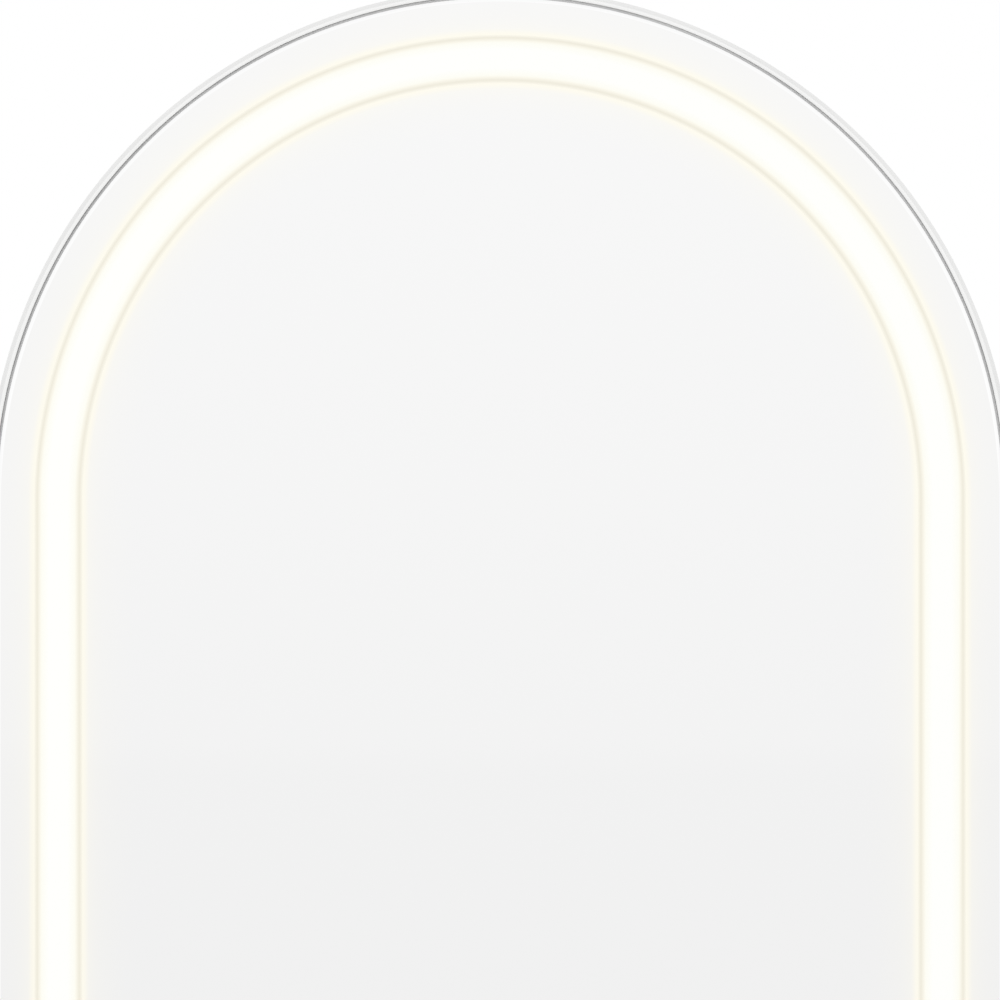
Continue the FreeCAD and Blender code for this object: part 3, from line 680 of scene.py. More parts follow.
@dataclass(frozen=True)
class HairlineFinish(Finish):
    """A satin metal whose fine brushed lines run along the frame, round the arch too."""

    lean: Lean = field(kw_only=True)
    path: ArchPath = field(kw_only=True)
    line_stretch: float = 0.02

    def pattern(self, bench: MaterialBench) -> Socket:
        """Find coordinates that are long along the frame and short across it.

        Args:
            bench: The material's bench.

        Returns:
            The coordinates.
        """
        inset, along, depth = bench.arch_place(self.lean, self.path)
        vector = bench.add("ShaderNodeCombineXYZ")
        bench.join(bench.math("MULTIPLY", along, self.line_stretch), vector.inputs["X"])
        bench.join(inset, vector.inputs["Y"])
        bench.join(depth, vector.inputs["Z"])
        return vector.outputs[0]


@dataclass(frozen=True)
class Stop:
    """What the pane shows at one inset: the share that mirrors, and the light that it gives off, which comes
    through the frost in the band and is painted glow or painted highlight on the mirror zones.
    """

    inset: float
    mirror: float
    light: Colour


@dataclass(frozen=True)
class PaneFinish:
    """A zone of the pane, from clear mirror to frosted glass lit from behind; on the mirror zones its emission
    is painted glow and painted highlight.
    """

    name: str
    lean: Lean
    path: ArchPath
    stops: tuple[Stop, ...]
    metallic: float
    roughness: float
    silver: float = 0.9346
    smear: float = 0.004
    smear_scale: float = 9.0
    smear_detail: float = 5.0

    def material(self) -> bpy.types.Material:
        """Make the material.

        Returns:
            A new material whose mirror and light follow the inset.
        """
        bench = MaterialBench(self.name)
        inset, _, _ = bench.arch_place(self.lean, self.path)
        levels = tuple((stop.inset, stop.mirror * self.silver) for stop in self.stops)
        if len({level for _, level in levels}) == 1:
            bench.set(Base_Color=opaque(grey(levels[0][1])))
        else:
            bench.join(bench.grey_ramp(inset, levels), bench.shader.inputs["Base Color"])
        light = bench.ramp(inset, [(stop.inset, stop.light) for stop in self.stops])
        bench.join(light, bench.shader.inputs["Emission Color"])
        bench.set(Emission_Strength=1.0, Metallic=self.metallic)
        smears = bench.noise(bench.object_place(), self.smear_scale, self.smear_detail)
        gloss = bench.spread(smears, self.roughness, self.roughness + self.smear)
        bench.join(gloss, bench.shader.inputs["Roughness"])
        return bench.material


class Palette:
    """The finish of each material slot, made into a material when it is first asked for."""

    def __init__(self, lean: Lean, path: ArchPath) -> None:
        """Lay out the finishes.

        Args:
            lean: The mirror's lean, which the frame's brushed lines follow.
            path: The mirror's outer outline, which they follow too.
        """
        self.made: dict[Slot, bpy.types.Material] = {}
        self.finishes = {
            Slot.FRAME: HairlineFinish("satin_aluminium", (0.94, 0.94, 0.935), 0.24, metallic=1.0,
                                       mottle=0.01, gloss_spread=0.06, grain_scale=2600.0,
                                       grain_height=0.000004, lean=lean, path=path),
            Slot.SEAL: Finish("grey_seal_rubber", (0.51, 0.51, 0.51), 0.62, mottle=0.08, grain_scale=1600.0,
                              grain_height=0.00002),
            Slot.TAPE: Finish("black_foam", (0.05, 0.05, 0.05), 0.9, grain_scale=700.0, grain_height=0.0001),
            Slot.TRAY: Finish("white_tray", (0.86, 0.86, 0.84), 0.4, mottle=0.01),
            Slot.OPAL: Finish("opal_diffuser", (0.90, 0.90, 0.87), 0.5, mottle=0.01, glow=0.5),
            Slot.LED: Finish("lit_phosphor", (0.95, 0.90, 0.70), 0.5, mottle=0.02, glow=1.0),
            Slot.STRIP: Finish("strip_mask", (0.85, 0.85, 0.82), 0.5, mottle=0.02),
            Slot.PANEL: Finish("panel_enamel", (0.74, 0.74, 0.73), 0.5, mottle=0.015, mottle_scale=5.0,
                               gloss_spread=0.1, grain=Grain.PEBBLE, grain_scale=620.0, grain_height=0.0004),
            Slot.ZINC: Finish("zinc_sheet", (0.66, 0.67, 0.68), 0.34, metallic=1.0, mottle=0.08,
                              mottle_scale=90.0, gloss_spread=0.1, grain_scale=500.0, grain_height=0.00001),
            Slot.PAINT: Finish("stand_powder_coat", (0.76, 0.76, 0.75), 0.4, mottle=0.015, gloss_spread=0.1,
                               grain=Grain.PEBBLE, grain_scale=1100.0, grain_height=0.00012),
            Slot.STEEL: Finish("bright_steel", (0.64, 0.64, 0.65), 0.26, metallic=1.0, mottle=0.03,
                               mottle_scale=150.0, grain_scale=1900.0, grain_height=0.000002),
            Slot.NYLON: Finish("natural_nylon", (0.82, 0.82, 0.77), 0.45, mottle=0.02),
            Slot.RUBBER: Finish("black_rubber", (0.035, 0.035, 0.035), 0.7, mottle=0.15, mottle_scale=70.0,
                                gloss_spread=0.1, grain_scale=1100.0, grain_height=0.00012),
            Slot.CIRCUIT: Finish("circuit_mask", (0.05, 0.20, 0.09), 0.35),
            Slot.CASE: Finish("black_moulding", (0.03, 0.03, 0.03), 0.5, mottle=0.1, gloss_spread=0.1,
                              grain_scale=1300.0, grain_height=0.00008),
            Slot.BRASS: Finish("bright_brass", (0.80, 0.62, 0.30), 0.22, metallic=1.0),
        }

    def material(self, slot: Slot) -> bpy.types.Material:
        """Give a slot's material.

        Args:
            slot: The slot.

        Returns:
            Its material, the same one each time.
        """
        if slot not in self.made:
            self.made[slot] = self.finishes[slot].material()
        return self.made[slot]

    def dress_packed_nodes(self) -> None:
        """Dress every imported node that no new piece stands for."""
        for part in frame["record"]["subparts"]:
            node = frame["nodes"][part["node"]]
            if node.hide_render:
                continue
            node.data.materials.clear()
            node.data.materials.append(self.material(Slot(part["material_slot"])))
            log.info("%s dressed as %s", node.name, part["material_slot"])


@dataclass
class SlimFrame:
    """The aluminium frame, bent over the arch and mitred at the bottom, and the seal inside its nose."""

    lean: Lean
    path: ArchPath
    palette: Palette
    depth: float = 0.032
    nose_width: float = 0.0047
    nose_chamfer: float = 0.0026
    nose_round: float = 0.0004
    nose_steps: int = 3
    wall: float = 0.0018
    ledge_width: float = 0.016
    ledge_front: float = 0.0077
    ledge_back: float = 0.0093
    flange_width: float = 0.014
    flange_front: float = 0.027
    flange_back: float = COVER_FRONT
    edge_round: float = 0.0002
    edge_steps: int = 2
    seal_width: float = 0.0014
    seal_front: float = 0.0019
    seal_back: float = GLASS_BACK
    lip_width: float = 0.0001
    lip_back: float = 0.0021
    seal_round: float = 0.0005
    seal_steps: int = 4
    lip_round: float = 0.0002
    lip_steps: int = 3

    def section(self) -> list[Point]:
        """Lay out the frame's section, from the nose round to the outer wall.

        Returns:
            Its corners, each an inset and a depth.
        """
        return [
            (0.0, self.nose_chamfer), (self.nose_chamfer, 0.0), (self.nose_width, 0.0),
            (self.nose_width, self.ledge_front), (self.ledge_width, self.ledge_front),
            (self.ledge_width, self.ledge_back), (self.wall, self.ledge_back),
            (self.wall, self.flange_front), (self.flange_width, self.flange_front),
            (self.flange_width, self.flange_back), (self.wall, self.flange_back),
            (self.wall, self.depth), (0.0, self.depth),
        ]

    def bar(self, name: str, stretch: Stretch, node: str) -> None:
        """Sweep one bar of the frame and round its outer edges.

        Args:
            name: The piece's name.
            stretch: The stretch of the outline that the bar follows.
            node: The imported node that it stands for.
        """
        section = self.section()
        bm = bmesh.new()
        sweep(bm, self.path, section, stretch)
        for corner in section[:3]:
            soften(bm, self.path.along(bm, corner), self.nose_round, self.nose_steps)
        for corner in section[-2:]:
            soften(bm, self.path.along(bm, corner), self.edge_round, self.edge_steps)
        self.lean.settle(bm)
        deliver(name, bm, self.palette.material(Slot.FRAME), Slot.FRAME, node)

    def seal(self) -> None:
        """Sweep the seal with its rounded front and the thin lip that laps the glass."""
        inner = self.nose_width + self.seal_width
        lip = inner + self.lip_width
        section = [(self.nose_width, self.seal_front), (inner, self.seal_front), (lip, self.lip_back),
                   (inner, self.lip_back), (inner, self.seal_back), (self.nose_width, self.seal_back)]
        bm = bmesh.new()
        sweep(bm, self.path, section, Stretch.WHOLE)
        soften(bm, self.path.along(bm, section[0]), self.seal_round, self.seal_steps)
        soften(bm, self.path.along(bm, section[1]), self.lip_round, self.lip_steps)
        self.lean.settle(bm)
        deliver("seal_bead", bm, self.palette.material(Slot.SEAL), Slot.SEAL, "edge_seal")

    def build(self) -> None:
        """Make the bars and the seal."""
        self.bar("frame_arch", Stretch.HOOP, "frame_hoop")
        self.bar("frame_sill", Stretch.SILL, "frame_bottom_rail")
        self.seal()


@dataclass(frozen=True)
class PaintedGlow:
    """The warm glow painted into the mirror beside the lit band, as emission over a silver that is dimmed
    there.
    """

    colour: Colour = (1.02, 0.985, 0.85)
    fall: tuple[Point, ...] = ((0.0, 0.20), (0.0014, 0.35), (0.0038, 0.74), (0.008, 0.85), (0.0125, 0.91),
                               (0.020, 0.96), (0.031, 1.0))

    def stops(self, start: float, way: int) -> tuple[Stop, ...]:
        """Let the painted glow fade and the mirror come back with the distance from the band.

        Args:
            start: Inset of the band's edge.
            way: 1 towards the middle of the mirror, -1 towards the frame.

        Returns:
            The stops, from the frame towards the middle.
        """
        stops = []
        for distance, share in self.fall:
            light = tuple((1 - share) * channel for channel in self.colour)
            stops.append(Stop(start + way * distance, share, light))
        return tuple(stops[::way])


@dataclass
class LightedPane:
    """The mirror pane: bevel, mirror border, lit band with a fine line along each edge, and mirror field."""

    lean: Lean
    path: ArchPath
    # Painted glow: warm emission painted on the mirror beside the lit band, over a dimmed silver
    glow: PaintedGlow = PaintedGlow()
    touch_finish: Finish = Finish("touch_mark_frost", (0.80, 0.86, 0.92), 0.5, mottle=0.02,
                                  grain_height=0.00001, glow=0.35)
    front: float = PANE_FRONT
    back: float = SILVERING_BACK
    edge: float = PANE_EDGE
    bevel_width: float = 0.0024
    bevel_depth: float = 0.0007
    # Painted highlight on the bevel: grey emission levels at its outer and inner edges
    bevel_painted_highlight: Point = (0.045, 0.09)
    bevel_roughness: float = 0.02
    line_outer: Point = (0.0282, 0.0316)
    line_inner: Point = (0.0531, 0.0568)
    line_tone: Colour = (0.86, 0.828, 0.72)
    line_edge: Colour = (0.962, 0.936, 0.838)
    rim_tone: Colour = (0.988, 0.981, 0.905)
    core_tone: Colour = (0.995, 0.996, 0.975)
    rim_width: float = 0.0009
    core_width: float = 0.0052
    frost_base: float = 0.12
    frost_gloss: float = 0.022
    frost_roughness: float = 0.5
    mirror_roughness: float = 0.004
    touch_height: float = 0.110
    touch_radius: float = 0.009
    touch_line: float = 0.0009
    touch_proud: float = 0.0001
    touch_gap: float = math.radians(70)
    touch_steps: int = 64
    touch_bar: float = 0.8

    def zone(self, name: str, section: list[Point], finish: PaneFinish, slot: Slot, *replaced: str) -> None:
        """Make one zone of the pane as a closed ring.

        Args:
            name: The piece's name.
            section: Its section, each corner an inset and a depth.
            finish: Its finish.
            slot: The record's slot that its finish belongs to.
            replaced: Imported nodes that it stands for.
        """
        bm = bmesh.new()
        sweep(bm, self.path, section, Stretch.WHOLE)
        self.lean.settle(bm)
        deliver(name, bm, finish.material(), slot, *replaced)

    def flat(self, outer: float, inner: float) -> list[Point]:
        """Section of a flat zone between two insets."""
        return [(outer, self.front), (inner, self.front), (inner, self.back), (outer, self.back)]

    def finish(self, name: str, stops: tuple[Stop, ...], metallic: float, roughness: float) -> PaneFinish:
        """A finish of the pane between the first and the last of some stops."""
        return PaneFinish(name, self.lean, self.path, stops, metallic, roughness)

    def bevel(self) -> None:
        """Make the polished bevel round the pane, with a painted highlight along it as faint grey emission."""
        inner = self.edge + self.bevel_width
        section = [(self.edge, self.front + self.bevel_depth), (inner, self.front), (inner, self.back),
                   (self.edge, self.back)]
        # Painted highlight: faint grey emission on the silver, brighter towards the bevel's inner edge
        painted_highlights = zip((self.edge, inner), self.bevel_painted_highlight)
        stops = tuple(Stop(inset, 1.0, grey(painted_highlight)) for inset, painted_highlight in painted_highlights)
        finish = self.finish("polished_bevel_painted_highlight", stops, 1.0, self.bevel_roughness)
        self.zone("glass_bevel", section, finish, Slot.GLASS, "mirror_glass")

    def border(self) -> None:
        """Make the mirror border between the bevel and the lit band, with a painted glow next to the band."""
        outer, inner = self.edge + self.bevel_width, self.line_outer[0]
        # The border's silver dims towards the band under a painted glow
        finish = self.finish("mirror_border_silver", self.glow.stops(inner, -1), 1.0, self.mirror_roughness)
        self.zone("mirror_border", self.flat(outer, inner), finish, Slot.SILVER)

    def frosted(self, name: str, lights: list[tuple[float, Colour]]) -> None:
        """Make a frosted zone that is lit from behind.

        Args:
            name: The piece's name.
            lights: Insets from the zone's outer edge to its inner one, each with the colour it shows.
        """
        dim = self.frost_base + self.frost_gloss
        stops = tuple(Stop(inset, self.frost_base, tuple(channel - dim for channel in light))
                      for inset, light in lights)
        finish = self.finish(f"{name}_frost", stops, 0.0, self.frost_roughness)
        self.zone(name, self.flat(lights[0][0], lights[-1][0]), finish, Slot.OPAL)

    def band(self) -> None:
        """Make the lit band and the fine warm line along each of its edges."""
        for side, (outer, inner) in (("outer", self.line_outer), ("inner", self.line_inner)):
            middle = (outer + inner) / 2
            lights = [(outer, self.line_edge), (middle, self.line_tone), (inner, self.line_edge)]
            self.frosted(f"band_line_{side}", lights)
        outer, inner = self.line_outer[1], self.line_inner[0]
        steps = ((0.0, self.line_edge), (self.rim_width, self.rim_tone), (self.core_width, self.core_tone))
        self.frosted("light_band", [(outer + step, tone) for step, tone in steps]
                     + [(inner - step, tone) for step, tone in reversed(steps)])

    def mirror_field(self) -> None:
        """Make the mirror field inside the lit band, a plate of the outline's shape, with a painted glow next
        to the band.
        """
        inset = self.line_inner[1]
        bm = bmesh.new()
        loops = [self.path.loop(bm, inset, depth) for depth in (self.front, self.back)]
        bmesh.ops.bridge_loops(bm, edges=loops[0] + loops[1])
        for loop in loops:
            bmesh.ops.edgeloop_fill(bm, edges=loop)
        bmesh.ops.recalc_face_normals(bm, faces=bm.faces)
        self.lean.settle(bm)
        # The field's silver dims towards the band under a painted glow
        finish = self.finish("mirror_field_silver", self.glow.stops(inset, 1), 1.0, self.mirror_roughness)
        deliver("mirror_field", bm, finish.material(), Slot.SILVER, "silvering")

    def touch_mark(self) -> None:
        """Make the etched touch mark: an open ring with a short bar in its gap."""
        bm = bmesh.new()
        low, high = self.front - self.touch_proud, self.front + self.touch_proud
        inner = self.touch_radius - self.touch_line
        turn = Matrix.Rotation(self.touch_gap / 2, 4, "Y")
        corners = [(inner, low), (self.touch_radius, low), (self.touch_radius, high), (inner, high)]
        start = bm.faces.new([bm.verts.new(turn @ Vector((0, depth, radius))) for radius, depth in corners])
        bmesh.ops.spin(bm, geom=[start], cent=(0, 0, 0), axis=(0, 1, 0), angle=2 * math.pi - self.touch_gap,
                       steps=self.touch_steps)
        bar = bmesh.ops.create_cube(bm, size=1.0)["verts"]
        bmesh.ops.scale(bm, vec=(self.touch_line, 2 * self.touch_proud, self.touch_radius), verts=bar)
        bmesh.ops.translate(bm, vec=(0, self.front, self.touch_radius * self.touch_bar), verts=bar)
        bmesh.ops.translate(bm, vec=(0, 0, self.touch_height), verts=bm.verts)
        bmesh.ops.recalc_face_normals(bm, faces=bm.faces)
        self.lean.settle(bm)
        deliver("touch_mark", bm, self.touch_finish.material(), Slot.OPAL)

    def build(self) -> None:
        """Make every zone of the pane."""
        self.bevel()
        self.border()
        self.band()
        self.mirror_field()
        self.touch_mark()


@dataclass
class BackPanel:
    """The rear cover with its rounded edge, and the power inlet in it."""

    lean: Lean
    path: ArchPath
    palette: Palette
    inset: float = 0.0025
    front: float = COVER_FRONT
    back: float = COVER_BACK
    edge_round: float = 0.0006
    edge_steps: int = 2
    inlet: Point = (0.100, 0.110)
    hole_radius: float = 0.0056
    hole_steps: int = 48
    flange_radius: float = 0.007
    flange_back: float = 0.0336
    flange_chamfer: float = 0.0006
    groove: Point = (0.0044, 0.0052)
    groove_depth: float = 0.0003
    body_radius: float = 0.0054
    body_front: float = 0.0166
    bore_radius: float = 0.00285
    bore_chamfer: float = 0.0004
    bore_bottom: float = 0.0241
    contact_radius: float = 0.001
    contact_back: float = 0.0326
    contact_steps: int = 4

    def hole(self, bm: bmesh.types.BMesh, depth: float) -> Chain:
        """Draw the inlet's hole.

        Args:
            bm: The mesh to draw in.
            depth: Distance behind the front face.

        Returns:
            The edges of the hole.
        """
        before = set(bm.edges)
        x, z = self.inlet
        place = Matrix.Translation((x, depth, z)) @ Matrix.Rotation(math.radians(90), 4, "X")
        bmesh.ops.create_circle(bm, cap_ends=False, segments=self.hole_steps, radius=self.hole_radius,
                                matrix=place)
        return [edge for edge in bm.edges if edge not in before]

    def cover(self) -> None:
        """Make the cover: its rim, the hole's wall and the two faces between them."""
        eased = self.edge_round
        inset, back = self.inset + eased, self.back - eased
        corner = [(inset - eased * out, back + eased * rise) for out, rise in quarter_round(self.edge_steps)]
        rim = [(self.inset, self.front), *reversed(corner)]
        bm = bmesh.new()
        loops = [self.path.loop(bm, inset, depth) for inset, depth in rim]
        for loop, following in zip(loops, loops[1:]):
            bmesh.ops.bridge_loops(bm, edges=loop + following)
        holes = [self.hole(bm, depth) for depth in (self.front, self.back)]
        bmesh.ops.bridge_loops(bm, edges=holes[0] + holes[1])
        for loop, hole in zip((loops[0], loops[-1]), holes):
            bmesh.ops.triangle_fill(bm, use_beauty=True, edges=loop + hole)
        bmesh.ops.recalc_face_normals(bm, faces=bm.faces)
        self.lean.settle(bm)
        deliver("rear_cover", bm, self.palette.material(Slot.PANEL), Slot.PANEL, "back_panel")

    def turned(self, name: str, outline: list[Point], slot: Slot, node: str) -> None:
        """Turn a piece of the inlet about the inlet's axis.

        Args:
            name: The piece's name.
            outline: Its outline, each point a radius and a depth.
            slot: The slot of its finish.
            node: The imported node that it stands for.
        """
        bm = bmesh.new()
        lathe(bm, outline, closed=False)
        x, z = self.inlet
        bmesh.ops.translate(bm, vec=(x, 0, z), verts=bm.verts)
        self.lean.settle(bm)
        deliver(name, bm, self.palette.material(slot), slot, node)

    def build(self) -> None:
        """Make the cover, the inlet's socket and its contact."""
        self.cover()
        groove_in, groove_out = self.groove
        floor = self.flange_back - self.groove_depth
        self.turned("inlet_socket", [
            (0, self.bore_bottom), (self.bore_radius, self.bore_bottom),
            (self.bore_radius, self.flange_back - self.bore_chamfer),
            (self.bore_radius + self.bore_chamfer, self.flange_back), (groove_in, self.flange_back),
            (groove_in, floor), (groove_out, floor), (groove_out, self.flange_back),
            (self.flange_radius - self.flange_chamfer, self.flange_back),
            (self.flange_radius, self.flange_back - self.flange_chamfer), (self.flange_radius, self.back),
            (self.body_radius, self.back), (self.body_radius, self.body_front), (0, self.body_front),
        ], Slot.CASE, "inlet_body")
        radius = self.contact_radius
        shoulder = self.contact_back - radius
        nose = [(radius * out, shoulder + radius * rise) for out, rise in quarter_round(self.contact_steps)]
        self.turned("inlet_contact", [*nose, (radius, self.bore_bottom), (0, self.bore_bottom)], Slot.BRASS,
                    "inlet_pin")


@dataclass
class Screws:
    """Pan-head screws with a cross recess, on the rear cover, the hangers and the hinge brackets."""

    lean: Lean
    path: ArchPath
    palette: Palette
    head_radius: float = 0.0035
    head_height: float = 0.0022
    head_side: float = 0.001
    head_crown: float = 0.0022
    shoulder_steps: int = 3
    head_steps: int = 32
    recess_reach: float = 0.0019
    recess_arm: float = 0.35
    recess_depth: float = 0.0013
    recess_taper: float = 0.6
    cover_back: float = COVER_BACK
    cover_inset: float = 0.008
    cover_heights: tuple[float, ...] = (0.11, 0.45, 0.79, 1.13, 1.42)
    cover_bottom: tuple[float, ...] = (-0.65, 0.0, 0.65)
    arch_count: int = 5
    hanger_back: float = 0.0331
    hanger_middle: Point = (0.150, 1.475)
    hanger_reach: float = 0.0255
    bracket_back: float = 0.0336
    bracket_middle: Point = (0.160, 1.0)
    bracket_reach: Point = (0.015, 0.024)
    turn_step: float = math.radians(137.5)

    def head(self) -> bpy.types.Mesh:
        """Model one screw head about the origin, its seat at Y = 0.

        Returns:
            The head's mesh.
        """
        bm = bmesh.new()
        height, reach = self.head_height, self.recess_reach
        crown, side = self.head_crown, self.head_side
        outline = [(crown + (self.head_radius - crown) * out, side + (height - side) * rise)
                   for out, rise in quarter_round(self.shoulder_steps)]
        outline.append((self.head_radius, 0))
        lathe(bm, outline, closed=False, steps=self.head_steps)
        seat = [edge for edge in bm.edges if edge.is_boundary and edge.verts[0].co.y < height / 2]
        rim = [edge for edge in bm.edges if edge.is_boundary and edge.verts[0].co.y > height / 2]
        bmesh.ops.edgeloop_fill(bm, edges=seat)
        # A grid of three cells each way, whose inner lines move to the arms' sides and whose corners go
        grid = bmesh.ops.create_grid(bm, x_segments=3, y_segments=3, size=reach)["verts"]
        bmesh.ops.rotate(bm, verts=grid, cent=(0, 0, 0), matrix=Matrix.Rotation(math.radians(90), 3, "X"))
        for vert in grid:
            for axis in (0, 2):
                if abs(vert.co[axis]) < reach - SNUG:
                    vert.co[axis] = math.copysign(reach * self.recess_arm, vert.co[axis])
        bmesh.ops.translate(bm, vec=(0, height, 0), verts=grid)
        corners = [vert for vert in grid if min(abs(vert.co.x), abs(vert.co.z)) > reach - SNUG]
        bmesh.ops.delete(bm, geom=corners, context="VERTS")
        cross = [face for face in bm.faces if all(vert in grid for vert in face.verts)]
        lip = [edge for edge in bm.edges if edge.is_boundary and edge not in rim]
        sunk = bmesh.ops.extrude_face_region(bm, geom=cross)["geom"]
        floor = only(bmesh.types.BMVert, sunk)
        bmesh.ops.translate(bm, vec=(0, -self.recess_depth, 0), verts=floor)
        bmesh.ops.scale(bm, vec=(self.recess_taper, 1, self.recess_taper), verts=floor)
        bmesh.ops.delete(bm, geom=[face for face in cross if face.is_valid], context="FACES")
        bmesh.ops.bridge_loops(bm, edges=rim + [edge for edge in lip if edge.is_valid])
        bmesh.ops.recalc_face_normals(bm, faces=bm.faces)
        return mesh_of("screw_head", bm)

    def cover_places(self) -> list[Point]:
        """Find the cover's screws: up both sides, round the arch and along the bottom.

        Returns:
            Their places.
        """
        reach = self.path.half_width - self.cover_inset
        places = [(side * reach, height) for height in self.cover_heights for side in (-1, 1)]
        for step in range(self.arch_count):
            angle = math.pi * (step + 0.5) / self.arch_count
            places.append((reach * math.cos(angle), self.path.centre + reach * math.sin(angle)))
        return places + [(share * reach, self.cover_inset) for share in self.cover_bottom]

    def hanger_places(self) -> list[Point]:
        """Places of the hangers' screws."""
        (across, height), reach = self.hanger_middle, self.hanger_reach
        return [(side * across + offset, height) for side in (-1, 1) for offset in (-reach, reach)]

    def bracket_places(self) -> list[Point]:
        """Find the brackets' screws.

        Returns:
            Their places.
        """
        (across, height), (reach, rise) = self.bracket_middle, self.bracket_reach
        corners = [(x, z) for x in (-reach, reach) for z in (-rise, rise)]
        return [(side * across + x, height + z) for side in (-1, 1) for x, z in corners]

    def group(self, name: str, places: list[Point], seat: float) -> None:
        """Set a screw head at each of some places, each turned by a different angle.

        Args:
            name: The piece's name.
            places: The screws' places, each across and up.
            seat: Depth of the face that the heads sit on.
        """
        head = self.head()
        bm = bmesh.new()
        for number, (x, z) in enumerate(places):
            known = len(bm.verts)
            bm.from_mesh(head)
            bm.verts.ensure_lookup_table()
            turn = Matrix.Rotation(number * self.turn_step, 4, "Y")
            bmesh.ops.transform(bm, matrix=Matrix.Translation((x, seat, z)) @ turn, verts=bm.verts[known:])
        bpy.data.meshes.remove(head)
        self.lean.settle(bm)
        deliver(name, bm, self.palette.material(Slot.STEEL), Slot.STEEL)

    def build(self) -> None:
        """Make the three groups of screws."""
        self.group("cover_screws", self.cover_places(), self.cover_back)
        self.group("hanger_screws", self.hanger_places(), self.hanger_back)
        self.group("bracket_screws", self.bracket_places(), self.bracket_back)


@dataclass(frozen=True)
class EasedCopy:
    """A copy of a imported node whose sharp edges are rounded, as a folded, cast or moulded piece has them."""

    name: str
    node: str
    slot: Slot
    edge_round: float
    segments: int = 2
    end_corner_round: float = 0.0
    corner_segments: int = 6
    body: Body = Body.MIRROR
    crease: float = math.radians(40)
    flat: float = math.radians(1)

    def sharp(self, bm: bmesh.types.BMesh) -> Chain:
        """Edges that turn by more than the crease angle."""
        return [edge for edge in bm.edges if edge.is_manifold and edge.calc_face_angle(0) > self.crease]

    def end_corners(self, bm: bmesh.types.BMesh) -> Chain:
        """Find the corners of a sheet at both its ends.

        Args:
            bm: The copy's mesh.

        Returns:
            The short edges at the lowest and the highest X.
        """
        ends = [corner.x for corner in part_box(self.node)]
        last = {vert for vert in bm.verts if min(abs(vert.co.x - end) for end in ends) < SNUG}
        edges = [edge for edge in self.sharp(bm) if last.issuperset(edge.verts)]
        sheet = min(edge.calc_length() for edge in edges)
        return [edge for edge in edges if edge.calc_length() < sheet + SNUG]

    def build(self, palette: Palette) -> None:
        """Make the copy.

        Args:
            palette: The palette that its finish comes from.
        """
        bm = bmesh.new()
        bm.from_mesh(frame["nodes"][self.node].data)
        bmesh.ops.remove_doubles(bm, verts=bm.verts, dist=MERGE)
        bmesh.ops.dissolve_limit(bm, angle_limit=self.flat, verts=bm.verts, edges=bm.edges)
        if self.end_corner_round:
            soften(bm, self.end_corners(bm), self.end_corner_round, self.corner_segments)
        soften(bm, self.sharp(bm), self.edge_round, self.segments)
        deliver(self.name, bm, palette.material(self.slot), self.slot, self.node, body=self.body)


